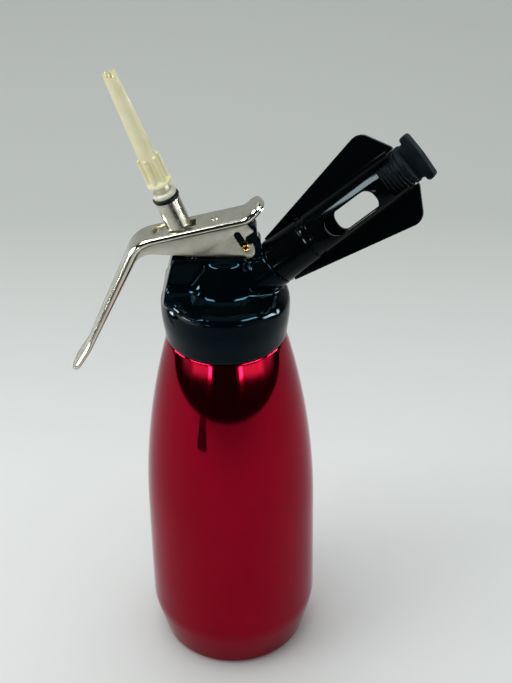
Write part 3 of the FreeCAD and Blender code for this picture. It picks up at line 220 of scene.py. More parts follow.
def tinted(tree, shader, share, first, second):
    """Base colour between two hex codes."""
    link(tree, blend_colour(tree, share, srgb(first), srgb(second)), shader, "Base Color")


def dulled(tree, shader, pattern, low, high, gloss, matt):
    """Roughness from gloss to matt as the pattern goes from low to high."""
    link(tree, spread(tree, pattern, low, high, gloss, matt), shader, "Roughness")


def bumps(tree, shader, height, strength, distance):
    """Relief of a pattern, its distance in millimetres."""
    node = put(tree, "ShaderNodeBump", {"Height": height, "Strength": strength,
                                        "Distance": distance * MM})
    link(tree, node.outputs["Normal"], shader, "Normal")


def anodised_aluminium():
    """Dyed, sealed anodising on a drawn bottle: clear deep red metal, faint turning lines."""
    material, tree, shader = finish_of("anodised aluminium", Metallic=1.0,
                                       Coat_Weight=0.06, Coat_Roughness=0.03,
                                       Specular_Tint=srgb("#F0D8DE"))
    point = object_point(tree)
    lines = noise(tree, object_point(tree, (0.02, 0.02, 1.0)), 0.5, 2.0)
    pits = noise(tree, point, 0.9)
    cloud = noise(tree, point, 24.0)
    tinted(tree, shader, spread(tree, cloud, 0.3, 0.7), "#84001A", "#8B001E")
    dulled(tree, shader, maths(tree, "ADD", lines, pits), 0.6, 1.4, 0.045, 0.075)
    bumps(tree, shader, lines, 0.02, 0.003)
    return material


def black_enamel():
    """Baked gloss enamel over a casting: nearly black with a cold tint and soft orange peel."""
    material, tree, shader = finish_of("black enamel", Specular_IOR_Level=0.09,
                                       Specular_Tint=srgb("#8CCCF2"))
    point = object_point(tree)
    peel = noise(tree, point, 2.6, 1.0)
    dust = noise(tree, point, 0.35, 2.0, 0.6)
    tinted(tree, shader, spread(tree, dust, 0.6, 0.8), "#02070A", "#050B0F")
    dulled(tree, shader, dust, 0.3, 0.75, 0.05, 0.1)
    bumps(tree, shader, peel, 0.04, 0.02)
    return material


def gloss_black_plastic():
    """Glass-filled nylon from a polished mould: gloss black with fine rub marks."""
    material, tree, shader = finish_of("gloss black nylon", Specular_IOR_Level=0.08,
                                       Specular_Tint=srgb("#C4D6DE"))
    point = object_point(tree)
    rub = noise(tree, object_point(tree, (1, 0.2, 1), (0, 0.7, 0.4)), 0.8, 4.0, 0.65)
    flow = noise(tree, point, 9.0, 2.0)
    tinted(tree, shader, spread(tree, rub, 0.55, 0.75), "#030506", "#050809")
    dulled(tree, shader, rub, 0.35, 0.75, 0.07, 0.11)
    bumps(tree, shader, flow, 0.1, 0.06)
    return material


def matt_black_plastic():
    """Moulded nylon rubbed dull by fingers, greyer on its raised parts."""
    material, tree, shader = finish_of("matt black nylon", Specular_IOR_Level=0.03)
    point = object_point(tree)
    grain = noise(tree, point, 0.4, 3.0, 0.6)
    rubbed = noise(tree, point, 5.0, 3.0)
    tinted(tree, shader, spread(tree, rubbed, 0.4, 0.65), "#070B0E", "#10171A")
    dulled(tree, shader, rubbed, 0.3, 0.7, 0.6, 0.48)
    bumps(tree, shader, grain, 0.25, 0.05)
    return material


def brushed_stainless():
    """Stainless sheet brushed along its length, with its rolled edges buffed bright."""
    material, tree, shader = finish_of("brushed stainless", Metallic=1.0)
    lean = (0, math.radians(-LEVER_SLOPE), 0)
    hair = noise(tree, object_point(tree, (0.12, 3.0, 3.0), lean), 0.7, 3.0, 0.6)
    point = object_point(tree)
    cloud = noise(tree, point, 6.0, 4.0, 0.6)
    specks = put(tree, "ShaderNodeTexVoronoi", {"Vector": point, "Scale": 1 / 2.6,
                                                "Randomness": 1.0}).outputs["Distance"]
    dark = spread(tree, specks, 0.05, 0.1, 1, 0)
    steel = blend_colour(tree, spread(tree, cloud, 0.35, 0.65), srgb("#CBC7BA"), srgb("#BDB9AB"))
    chosen = noise(tree, point, 3.0, 0.0)
    rare = maths(tree, "MULTIPLY", dark, spread(tree, chosen, 0.58, 0.64, 0, 0.5))
    link(tree, blend_colour(tree, rare, steel, srgb("#6F6A60")), shader, "Base Color")
    buffed = put(tree, "ShaderNodeAttribute", attribute_name="buffed").outputs["Fac"]
    satin = spread(tree, hair, 0.3, 0.7, 0.27, 0.38)
    bright = maths(tree, "MULTIPLY", satin, spread(tree, buffed, 0, 1, 1, 0.4))
    link(tree, bright, shader, "Roughness")
    bumps(tree, shader, hair, 0.12, 0.02)
    return material


def polished_stainless():
    """Turned and polished stainless steel with faint handling marks."""
    material, tree, shader = finish_of("polished stainless", Metallic=1.0)
    point = object_point(tree)
    haze = noise(tree, point, 1.6, 4.0, 0.6)
    tinted(tree, shader, spread(tree, haze, 0.35, 0.7), "#C2BEB2", "#A9A598")
    dulled(tree, shader, haze, 0.3, 0.75, 0.12, 0.24)
    return material


def brass():
    """Turned brass, slightly tarnished, with tool rings."""
    material, tree, shader = finish_of("brass", Metallic=1.0)
    point = object_point(tree)
    tarnish = noise(tree, point, 0.9, 3.0)
    tinted(tree, shader, spread(tree, tarnish, 0.35, 0.7), "#C9A659", "#8D6F33")
    dulled(tree, shader, tarnish, 0.3, 0.7, 0.2, 0.36)
    return material


def black_rubber():
    """Nitrile rubber: a dull dark sheen with dust on it."""
    material, tree, shader = finish_of("black rubber", Specular_IOR_Level=0.06)
    point = object_point(tree)
    dust = noise(tree, point, 0.3, 3.0, 0.6)
    tinted(tree, shader, spread(tree, dust, 0.5, 0.8), "#04080A", "#0D1315")
    dulled(tree, shader, dust, 0.3, 0.7, 0.42, 0.6)
    bumps(tree, shader, dust, 0.2, 0.03)
    return material


def aged_ivory_plastic():
    """Old polypropylene gone yellow: waxy, lets light through, deeper where it is thick."""
    material, tree, shader = finish_of("aged polypropylene", Subsurface_Weight=0.3,
                                       Subsurface_Scale=1.2 * MM, Specular_IOR_Level=0.12)
    shader.inputs["Subsurface Radius"].default_value = (1.0, 0.85, 0.45)
    point = object_point(tree)
    age = noise(tree, point, 7.0, 3.0)
    wax = noise(tree, point, 0.7, 3.0, 0.6)
    tinted(tree, shader, spread(tree, age, 0.35, 0.65), "#F0EAC8", "#E8E0B0")
    dulled(tree, shader, wax, 0.3, 0.7, 0.5, 0.62)
    bumps(tree, shader, wax, 0.12, 0.04)
    return material


def grey_beige_plastic():
    """Moulded acetal, greyish, dull where it has been gripped."""
    material, tree, shader = finish_of("grey beige acetal", Subsurface_Weight=0.2,
                                       Subsurface_Scale=1.0 * MM)
    point = object_point(tree)
    grime = noise(tree, point, 2.2, 4.0, 0.6)
    tinted(tree, shader, spread(tree, grime, 0.4, 0.75), "#D3D1BE", "#B4AF98")
    dulled(tree, shader, grime, 0.3, 0.7, 0.36, 0.5)
    bumps(tree, shader, grime, 0.1, 0.03)
    return material


def white_seal():
    """Silicone seal: milky, soft sheen."""
    material, tree, shader = finish_of("white silicone", Subsurface_Weight=0.3,
                                       Subsurface_Scale=1.5 * MM)
    point = object_point(tree)
    haze = noise(tree, point, 1.5, 3.0)
    tinted(tree, shader, haze, "#DDDDD6", "#C9C8BE")
    dulled(tree, shader, haze, 0.3, 0.7, 0.4, 0.55)
    return material


def spring_steel():
    """Drawn spring wire: grey, striped along the wire by the die."""
    material, tree, shader = finish_of("spring wire", Metallic=1.0)
    point = object_point(tree)
    drawn = noise(tree, point, 0.5, 3.0)
    tinted(tree, shader, drawn, "#A8A69E", "#8C8A82")
    dulled(tree, shader, drawn, 0.3, 0.7, 0.25, 0.4)
    return material


FINISHES = {
    "anodised_aluminium": anodised_aluminium(),
    "black_coated_cast": black_enamel(),
    "brushed_stainless": brushed_stainless(),
    "polished_stainless": polished_stainless(),
    "brass": brass(),
    "black_rubber": black_rubber(),
    "spring_steel": spring_steel(),
    "aged_ivory_plastic": aged_ivory_plastic(),
    "grey_beige_plastic": grey_beige_plastic(),
    "gloss_black_plastic": gloss_black_plastic(),
    "matt_black_plastic": matt_black_plastic(),
    "white_seal": white_seal(),
}
SLOT_OF = {row["node"]: row["material_slot"] for row in frame["record"]["subparts"]}
BODY_OF = {node: body for body, nodes in frame["record"]["behaviour"]["bodies"].items()
           for node in nodes}

# ------------------------ places


def axis_frame(x, z, x_axis, z_axis):
    """Matrix from local millimetres to metres in the world."""
    z_axis = Vector(z_axis).normalized()
    x_axis = Vector(x_axis).normalized()
    y_axis = z_axis.cross(x_axis)
    turn = Matrix((x_axis, y_axis, z_axis)).transposed().to_4x4()
    return Matrix.Translation(Vector((x, 0, z)) * MM) @ turn @ Matrix.Scale(MM, 4)


WORLD = Matrix.Scale(MM, 4)
tilt = math.radians(VALVE_TILT)
VALVE = axis_frame(VALVE_X, VALVE_Z, (math.cos(tilt), 0, math.sin(tilt)),
                   (-math.sin(tilt), 0, math.cos(tilt)))
rise, turn = math.radians(CHARGER_SLOPE), math.radians(WING_TURN)
CHARGER = axis_frame(CHARGER_X, CHARGER_Z,
                     (-math.sin(rise) * math.cos(turn), math.sin(turn),
                      math.cos(rise) * math.cos(turn)),
                     (math.cos(rise), 0, math.sin(rise)))
SLOPE_TAN = math.tan(math.radians(LEVER_SLOPE))
SLOPE_COS = math.cos(math.radians(LEVER_SLOPE))


def plate_top(x):
    return PIN_Z + LEVER_RISE + (x - PIN_X) * SLOPE_TAN


def plate_frame(x):
    """Frame on the lever's plate above x, local Z square to the plate."""
    slope = math.radians(LEVER_SLOPE)
    return axis_frame(x, plate_top(x), (math.cos(slope), 0, math.sin(slope)),
                      (-math.sin(slope), 0, math.cos(slope)))


# ------------------------ mesh helpers


def rounded(corners, step=10.0):
    """Points along (a, b) or (a, b, radius) corners, with arcs at the rounded ones."""
    points = []
    for i, corner in enumerate(corners):
        here = Vector(corner[:2])
        radius = corner[2] if len(corner) > 2 else 0.0
        if radius <= 0:
            points.append(here)
            continue
        back = (Vector(corners[i - 1][:2]) - here).normalized()
        forth = (Vector(corners[(i + 1) % len(corners)][:2]) - here).normalized()
        half = back.angle(forth) / 2
        setback = radius / math.tan(half)
        centre = here + (back + forth).normalized() * (radius / math.sin(half))
        sweep = math.pi - 2 * half
        count = max(2, math.ceil(math.degrees(sweep) / step))
        start = here + back * setback - centre
        sense = math.copysign(1, start.cross(here + forth * setback - centre))
        for k in range(count + 1):
            angle = sense * sweep * k / count
            points.append(centre + Vector((start.x * math.cos(angle) - start.y * math.sin(angle),
                                           start.x * math.sin(angle) + start.y * math.cos(angle))))
    return points


def ramp(value, start, end):
    """0 up to start, 1 from end on."""
    return min(1.0, max(0.0, (value - start) / (end - start)))


def new_object(name, data):
    """Object with this data, linked into the scene."""
    target = bpy.data.objects.new(name, data)
    bpy.context.scene.collection.objects.link(target)
    return target


def piece(name, mesh, node=None, body=None, slot=None, sharp=None):
    """Object from a mesh, dressed and riding like the CAD node it stands for or sits on."""
    target = new_object(name, mesh)
    slot = slot or SLOT_OF[node]
    mesh.materials.clear()
    mesh.materials.append(FINISHES[slot])
    for face in mesh.polygons:
        face.use_smooth = True
        face.material_index = 0
    if sharp:
        mesh.set_sharp_from_angle(angle=math.radians(sharp))
    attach(target, body or BODY_OF[node])
    if node:
        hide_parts(node)
    return target


def settled(build, name):
    """Mesh from a bmesh, which is freed."""
    mesh = bpy.data.meshes.new(name)
    build.to_mesh(mesh)
    build.free()
    return mesh


def mesh_of(name, points, faces, place=WORLD):
    """Mesh with its doubles merged and its faces turned outwards."""
    build = bmesh.new()
    corners = [build.verts.new(place @ Vector(p)) for p in points]
    for face in faces:
        build.faces.new([corners[i] for i in face])
    bmesh.ops.remove_doubles(build, verts=build.verts, dist=1e-7)
    bmesh.ops.recalc_face_normals(build, faces=build.faces)
    return settled(build, name)


def turned(name, corners, place=WORLD, segments=128, drop=None):
    """Turned solid from the corners of its outline; an end on the axis becomes a pole.

    drop(height, turn), with turn from 0 to 1, lowers points round the rim.
    """
    outline = rounded(corners)
    on_axis = [p.x < 1e-6 for p in outline]
    closed = not (on_axis[0] and on_axis[-1])
    points, rows = [], []
    for p, pole in zip(outline, on_axis):
        if pole:
            rows.append([len(points)] * segments)
            points.append((0, 0, p.y))
            continue
        rows.append(list(range(len(points), len(points) + segments)))
        for k in range(segments):
            angle = 2 * math.pi * k / segments
            z = p.y - drop(p.y, k / segments) if drop else p.y
            points.append((p.x * math.cos(angle), p.x * math.sin(angle), z))
    faces = []
    for i in range(len(rows) if closed else len(rows) - 1):
        low, high = rows[i], rows[(i + 1) % len(rows)]
        for k in range(segments):
            n = (k + 1) % segments
            ring = [low[k], low[n], high[n], high[k]]
            ring = [v for j, v in enumerate(ring) if v != ring[j - 1]]
            if len(ring) > 2:
                faces.append(ring)
    return mesh_of(name, points, faces, place)


def lofted(name, sections, place=WORLD):
    """Closed skin through rings of points, with flat ends."""
    points = [p for ring in sections for p in ring]
    count = len(sections[0])
    faces = [list(range(count)), list(range(len(points) - count, len(points)))]
    for i in range(len(sections) - 1):
        for k in range(count):
            n = (k + 1) % count
            faces.append([i * count + k, i * count + n, (i + 1) * count + n, (i + 1) * count + k])
    return mesh_of(name, points, faces, place)


def prism(name, outline, half, place=WORLD):
    """Slab across local Y with the outline in local X and Z."""
    flat = rounded(outline)
    return lofted(name, [[(p.x, y, p.y) for p in flat] for y in (-half, half)], place)


def evaluated(holder):
    """Mesh that an object's modifiers give; the object is removed."""
    holder.update_tag()
    bpy.context.view_layer.update()
    shape = holder.evaluated_get(bpy.context.evaluated_depsgraph_get())
    mesh = bpy.data.meshes.new_from_object(shape)
    bpy.data.objects.remove(holder)
    return mesh


def finished(mesh, *modifiers):
    """The mesh after the given modifiers, each a type and its settings."""
    holder = new_object("work", mesh)
    for kind, settings in modifiers:
        modifier = holder.modifiers.new(kind, kind)
        for name, value in settings.items():
            setattr(modifier, name, value)
    result = evaluated(holder)
    result.name = mesh.name
    return result


def bevel(width, angle, segments=2):
    """Bevel for finished(): width in millimetres, on edges over an angle in degrees."""
    return "BEVEL", {"width": width * MM, "segments": segments, "limit_method": "ANGLE",
                     "angle_limit": math.radians(angle)}


def grown(tree, name, place=WORLD, **values):
    """Plain mesh from a geometry node tree with its named inputs set."""
    holder = new_object("work", bpy.data.meshes.new("work"))
    modifier = holder.modifiers.new("work", "NODES")
    modifier.node_group = tree
    for socket in tree.interface.items_tree:
        label = socket.name.replace(" ", "_")
        if socket.in_out == "INPUT" and label in values:
            modifier[socket.identifier] = values[label]
    mesh = evaluated(holder)
    mesh.name = name
    mesh.transform(place)
    return mesh


def cad_copy(node):
    """Copy of a CAD node's mesh with its loose triangles joined."""
    build = bmesh.new()
    build.from_mesh(NODES[node].data)
    bmesh.ops.remove_doubles(build, verts=build.verts, dist=2e-6)
    return settled(build, node + "_form")


def softened(node, width):
    """CAD node with its sharp edges broken by a small bevel."""
    build = bmesh.new()
    build.from_mesh(cad_copy(node))
    bmesh.ops.dissolve_limit(build, angle_limit=math.radians(0.6), verts=build.verts,
                             edges=build.edges)
    mesh = finished(settled(build, node + "_soft"), bevel(width, 35), ("TRIANGULATE", {}))
    piece(node + "_finish", mesh, node=node, sharp=38)


# ------------------------ geometry node trees


def new_tree(name, **inputs):
    """Geometry node tree with named number and material inputs."""
    tree = bpy.data.node_groups.new(name, "GeometryNodeTree")
    kinds = {float: "NodeSocketFloat", int: "NodeSocketInt"}
    for label, value in inputs.items():
        socket = tree.interface.new_socket(label.replace("_", " "), in_out="INPUT",
                                           socket_type=kinds[type(value)])
        socket.default_value = value
    tree.interface.new_socket("Material", in_out="INPUT", socket_type="NodeSocketMaterial")
    tree.interface.new_socket("Geometry", in_out="OUTPUT", socket_type="NodeSocketGeometry")
    return tree, put(tree, "NodeGroupInput").outputs


def close_tree(tree, given, geometry):
    """End a tree in Realize Instances and Set Material."""
    real = put(tree, "GeometryNodeRealizeInstances", {"Geometry": geometry})
    dressed = put(tree, "GeometryNodeSetMaterial", {"Geometry": real.outputs[0],
                                                    "Material": given["Material"]})
    put(tree, "NodeGroupOutput", {"Geometry": dressed.outputs[0]})
    return tree


def helix_tree():
    """Rounded ridge or wire along a helix, running out to nothing at both ends if tapered."""
    tree, given = new_tree("helix", Radius=10.0, Pitch=2.0, Turns=3.0, Start=0.0, Depth=0.5,
                           Width=0.5, Run_Out=0.05)
    height = maths(tree, "MULTIPLY", given["Pitch"], given["Turns"])
    line = put(tree, "GeometryNodeCurveSpiral",
               {"Resolution": 72, "Rotations": given["Turns"], "Start Radius": given["Radius"],
                "End Radius": given["Radius"], "Height": height})
    base = put(tree, "ShaderNodeCombineXYZ", {"Z": given["Start"]})
    lifted = put(tree, "GeometryNodeTransform", {"Geometry": line.outputs[0],
                                                 "Translation": base.outputs[0]})
    upright = put(tree, "GeometryNodeSetCurveNormal", {"Curve": lifted.outputs[0]}, mode="Z_UP")
    along = put(tree, "GeometryNodeSplineParameter").outputs["Factor"]
    from_middle = maths(tree, "ABSOLUTE", maths(tree, "SUBTRACT", along, 0.5))
    size = spread(tree, maths(tree, "SUBTRACT", 0.5, from_middle), 0.0, given["Run Out"], 0.05)
    sized = put(tree, "GeometryNodeSetCurveRadius", {"Curve": upright.outputs[0], "Radius": size})
    ring = put(tree, "GeometryNodeCurvePrimitiveCircle", {"Resolution": 12, "Radius": 1.0})
    flat = put(tree, "ShaderNodeCombineXYZ", {"X": given["Depth"], "Y": given["Width"], "Z": 1.0})
    section = put(tree, "GeometryNodeTransform", {"Geometry": ring.outputs[0],
                                                  "Scale": flat.outputs[0]})
    skin = put(tree, "GeometryNodeCurveToMesh", {"Curve": sized.outputs[0],
                                                 "Profile Curve": section.outputs[0],
                                                 "Fill Caps": True})
    if "Scale" in skin.inputs:
        tree.links.new(size, skin.inputs["Scale"])
    return close_tree(tree, given, skin.outputs[0])


def rib_tree():
    """Upright round-topped ribs in a ring."""
    tree, given = new_tree("ribs", Count=6, Ring=4.0, Radius=1.4, Length=14.0, Start=0.0,
                           Phase=0.0)
    ring = put(tree, "GeometryNodeMeshCircle", {"Vertices": given["Count"],
                                                "Radius": given["Ring"]})
    shaft = put(tree, "GeometryNodeMeshCylinder", {"Vertices": 24, "Side Segments": 1,
                                                   "Radius": given["Radius"],
                                                   "Depth": given["Length"]})
    half = maths(tree, "MULTIPLY", given["Length"], 0.5)
    dome = put(tree, "GeometryNodeMeshUVSphere", {"Segments": 24, "Rings": 12,
                                                  "Radius": given["Radius"]})
    top = put(tree, "ShaderNodeCombineXYZ", {"Z": half})
    dome = put(tree, "GeometryNodeTransform", {"Geometry": dome.outputs[0],
                                               "Translation": top.outputs[0]})
    both = put(tree, "GeometryNodeJoinGeometry")
    for part in (shaft, dome):
        tree.links.new(part.outputs[0], both.inputs[0])
    placed = put(tree, "GeometryNodeInstanceOnPoints", {"Points": ring.outputs[0],
                                                        "Instance": both.outputs[0]})
    lift = put(tree, "ShaderNodeCombineXYZ", {"Z": maths(tree, "ADD", given["Start"], half)})
    spin = put(tree, "ShaderNodeCombineXYZ", {"Z": given["Phase"]})
    moved = put(tree, "GeometryNodeTransform", {"Geometry": placed.outputs[0],
                                                "Translation": lift.outputs[0],
                                                "Rotation": spin.outputs[0]})
    return close_tree(tree, given, moved.outputs[0])


HELIX = helix_tree()
RIBS = rib_tree()


def helix(name, body, slot, place=WORLD, **values):
    """Thread as a piece of its own; Start, Pitch and the rest are in millimetres."""
    mesh = grown(HELIX, name, place, Material=FINISHES[slot], **values)
    piece(name, mesh, body=body, slot=slot)


# ------------------------ bottle


def shoulder_radius(z):
    climb = z - SIDE_TOP_Z
    return BOTTLE_RADIUS - SIDE_DRAFT - SHOULDER_ARC + math.sqrt(SHOULDER_ARC ** 2 - climb ** 2)


def make_bottle():
    arc = [SIDE_TOP_Z + (NECK_Z - SIDE_TOP_Z) * k / 40 for k in range(41)]
    outside = [(0, PUNT_DEPTH), (PUNT_RADIUS - 9, PUNT_DEPTH, 6.0), (PUNT_RADIUS, 0, 1.2),
               (BASE_EDGE_RADIUS, 0, BASE_CORNER), (BOTTLE_RADIUS, CONE_TOP_Z, CONE_BLEND),
               (BOTTLE_RADIUS - SIDE_DRAFT / 2, (CONE_TOP_Z + SIDE_TOP_Z) / 2)]
    outside += [(shoulder_radius(z), z) for z in arc[:-1]]
    outside += [(shoulder_radius(NECK_Z), NECK_Z, 0.5), (NECK_RADIUS, NECK_Z, 0.5),
                (NECK_RADIUS, LIP_Z, 0.8), (NECK_BORE, LIP_Z, 0.8)]
    inside = [(NECK_BORE, NECK_Z - 1)]
    inside += [(shoulder_radius(z) - BOTTLE_WALL, z) for z in reversed(arc[:-2])]
    inside += [(BOTTLE_RADIUS - BOTTLE_WALL, CONE_TOP_Z, CONE_BLEND - BOTTLE_WALL),
               (BASE_EDGE_RADIUS - BOTTLE_WALL, BOTTLE_WALL + PUNT_DEPTH, BASE_CORNER),
               (0, BOTTLE_WALL + PUNT_DEPTH)]
    piece("bottle_shell", turned("bottle_shell", outside + inside, segments=192), node="bottle",
          sharp=50)
    helix("neck_thread", "bottle_body", "anodised_aluminium", Radius=NECK_RADIUS - 0.15,
          Pitch=THREAD_PITCH, Turns=2.4, Start=193.0, Depth=1.2, Width=1.15, Run_Out=0.06)


# ------------------------ cast and moulded forms


def moulded(node, voxel, fill_steps, ease_steps, held):
    """CAD node as a casting: hollows filled to soft rounds, edges eased; held points stay."""
    mesh = finished(cad_copy(node), ("REMESH", {"mode": "VOXEL", "voxel_size": voxel * MM}))
    count = len(mesh.vertices)
    points = np.empty(count * 3)
    mesh.vertices.foreach_get("co", points)
    points = points.reshape(-1, 3) / MM
    edges = np.empty(len(mesh.edges) * 2, dtype=np.int64)
    mesh.edges.foreach_get("vertices", edges)
    first, second = edges.reshape(-1, 2).T
    near = np.bincount(first, minlength=count) + np.bincount(second, minlength=count)
    near = np.maximum(near, 1)
    free = 1.0 - held(points)
    normals = np.empty(count * 3)

    def pull():
        total = np.empty_like(points)
        for axis in range(3):
            column = points[:, axis]
            total[:, axis] = (np.bincount(first, column[second], count)
                              + np.bincount(second, column[first], count))
        return total / near[:, None] - points

    for step in range(fill_steps):
        if step % 6 == 0:
            mesh.vertices.foreach_set("co", (points * MM).ravel())
            mesh.update()
            mesh.vertices.foreach_get("normal", normals)
            facing = normals.reshape(-1, 3)
        outward = np.maximum((pull() * facing).sum(axis=1), 0.0) * free
        points += facing * outward[:, None]
    for step in range(ease_steps):
        points += pull() * (0.5 * np.maximum(free, 0.15))[:, None]
    mesh.vertices.foreach_set("co", (points * MM).ravel())
    mesh.update()
    return mesh


def drafted(mesh):
    """The head's block under the lever leans back towards its top, as a casting's side does."""
    for vertex in mesh.vertices:
        x, y, z = vertex.co / MM
        # only on the block's own sides: none at the turret, the middle and below the shelf
        share = ramp(-x, 9.0, 14.0) * ramp(abs(y), 7.5, 10.5) * ramp(z, SHELF_Z - 3.5, SHELF_Z)
        vertex.co.y += math.copysign(BLOCK_DRAFT * max(0.0, BLOCK_TOP_Z - z) * share, y) * MM
    mesh.update()


def squared(mesh):
    """The skirt's shoulder drawn out to a tighter round at the front and the back."""
    inner, outer = 0.7, 1.06     # the skin that moves, in shares of the old round
    tight = 1 - SHOULDER_ROUND / SKIRT_ROUND
    for vertex in mesh.vertices:
        x, y, z = vertex.co / MM
        radius = math.hypot(x, y)
        out, up = (radius - SKIRT_RADIUS) / SKIRT_ROUND + 1, (z - SHELF_Z) / SKIRT_ROUND + 1
        reach = math.hypot(out, up)
        if min(out, up) <= 0 or not inner < reach < outer:
            continue
        share, other = max(out, up) / reach, min(out, up) / reach
        edge = 1 / share
        if other * edge > tight:
            middle = tight * (share + other)
            edge = middle + math.sqrt(max(0.0, middle ** 2 - 2 * tight ** 2 + (1 - tight) ** 2))
        gain = 1 + (edge - 1) * ramp(abs(y), 17.0, 24.0) * ramp(reach, inner, 0.95)
        out, up = out * gain, up * gain
        wanted = SKIRT_RADIUS + (out - 1) * SKIRT_ROUND
        vertex.co = Vector((x * wanted / radius, y * wanted / radius,
                            SHELF_Z + (up - 1) * SKIRT_ROUND)) * MM
    mesh.update()


def in_frame(points, place):
    """Distance of each point from a frame's axis, and its place along that axis."""
    turn = np.array(place.inverted().to_3x3()) * MM
    origin = np.array(place.translation) / MM
    across, over, along = ((points - origin) @ turn.T).T
    return np.hypot(across, over), along


def head_held(points):
    """1 where the head's form has to stay: its bore, rim, slots, valve bore and stud seat."""
    x, y, z = points.T
    bore = (np.hypot(x, y) < 27.0) & (z < 209.5)
    rim = z < 189.0
    slots = (np.abs(y) < 7.0) & (z > 224.0) & (np.abs(y) > 3.7)
    from_valve, _ = in_frame(points, VALVE)
    valve = (from_valve < 6.6) & (z > 209)
    from_charger, along = in_frame(points, CHARGER)
    seat = (from_charger < 8.0) & (along > -12)
    joint = (from_charger < 12) & (along > -1.2) & (z > 214)
    return (bore | rim | slots | valve | seat | joint).astype(float)


def make_head():
    mesh = moulded("head", voxel=0.5, fill_steps=22, ease_steps=8, held=head_held)
    squared(mesh)
    drafted(mesh)
    mesh = finished(mesh, ("SMOOTH", {"factor": 0.5, "iterations": 12}))
    piece("head_casting", mesh, node="head")
    helix("head_thread", "head_body", "black_coated_cast", Radius=25.95, Pitch=THREAD_PITCH,
          Turns=2.5, Start=192.0, Depth=0.55, Width=1.0, Run_Out=0.06)


# ------------------------ end plug


def make_plug():
    start, foot = HOLDER_END - PLUG_LENGTH, HOLDER_END + PLUG_FOOT
    cup_floor, neck = HOLDER_END + 0.2, HOLDER_END + 2.6
    shank = [(0, cup_floor), (PLUG_CUP, cup_floor, 1.0), (PLUG_CUP, start, 0.4),
             (PLUG_CORE, start, 0.5), (PLUG_CORE, neck, 0.3), (PLUG_RIM, neck, 0.3),
             (PLUG_RIM, foot, 0.5), (0, foot)]
    piece("plug_shank", turned("plug_shank", shank, CHARGER, 96), node="end_plug", sharp=50)
    helix("plug_thread", "plug", "matt_black_plastic", CHARGER, Radius=PLUG_CORE - 0.05,
          Pitch=1.8, Turns=7.2, Start=start + 0.6, Depth=0.75, Width=0.55, Run_Out=0.02)
    bar, top = foot + 2.7, foot + 7.3
    right = [(GRIP_FOOT, foot - 1.1), (GRIP_FOOT, bar, 0.8), (GRIP_HALF, bar, 1.6),
             (GRIP_HALF, top - 0.6, 1.6)]
    left = [(-c[0], *c[1:]) for c in reversed(right)]
    grip = prism("plug_grip", right + [(0, top, 60.0)] + left, GRIP_THICKNESS / 2, CHARGER)
    grip = finished(grip, bevel(0.7, 50, 3))
    piece("plug_grip", grip, body="plug", slot="matt_black_plastic", sharp=35)


# ------------------------ lever


def from_corner(corner, length, degrees):
    """Point at a length from a corner, in a direction turned from local X."""
    angle = math.radians(degrees)
    return Vector((corner[0] + length * math.cos(angle), corner[1] + length * math.sin(angle)))


def strap_line():
    """Points along the strap's middle, lip first."""
    lip_x = PIN_X + LIP_OFFSET
    bend = Vector((lip_x, plate_top(lip_x) - LEVER_EDGE / 2 / SLOPE_COS))
    lip = from_corner(bend, LIP_LENGTH, LIP_ANGLE)
    knee = from_corner(bend, PLATE_LENGTH, 180 + LEVER_SLOPE)
    kink = from_corner(knee, HANDLE_LENGTH, 270 - HANDLE_LEAN)
    tip = from_corner(kink, TAIL_LENGTH, 270 - TAIL_LEAN)
    line = rounded([(*lip,), (*bend, 8.0), (*knee, 13.0), (*kink, 30.0), (*tip,)], step=3.0)
    dense = []
    for here, there in zip(line, line[1:]):
        steps = max(1, math.ceil((there - here).length / 1.2))
        dense += [here.lerp(there, k / steps) for k in range(steps)]
    dense.append(line[-1])
    return dense


def strap_stations():
    """Points along the strap's middle as rows, and their lengths from the lip."""
    spots = np.array([(p.x, p.y) for p in strap_line()])
    return spots, np.concatenate(([0.0], np.cumsum(np.hypot(*np.diff(spots, axis=0).T))))


def between(table, length):
    """Value at a length from a table of (length, value) rows."""
    lengths, values = zip(*table)
    return float(np.interp(length, lengths, values))


def strap_section(width, edge):
    """Channel outline across the strap: crowned top, rolled edges, hollow underneath."""
    r = edge / 2
    half = (width - edge) / 2
    inner = max(width / 2 - LEVER_SHEET, 0.3)
    top = [(half * across, r - STRAP_CROWN * across ** 2)
           for across in [k / 4 - 1 for k in range(1, 8)]]
    right = [(half + r * math.cos(a), r * math.sin(a)) for a in
             [math.radians(90 - 180 * k / 14) for k in range(15)]]
    right[0] = (half, r - STRAP_CROWN)
    lip = min(0.35, r * 0.4)
    under = [(inner + 0.25, -r), (inner, -r + lip), (inner, r - LEVER_SHEET - lip),
             (inner - 0.4, r - LEVER_SHEET)]
    side = right + under
    mirrored = [(-y, n) for y, n in reversed(side)]
    return top + side + mirrored


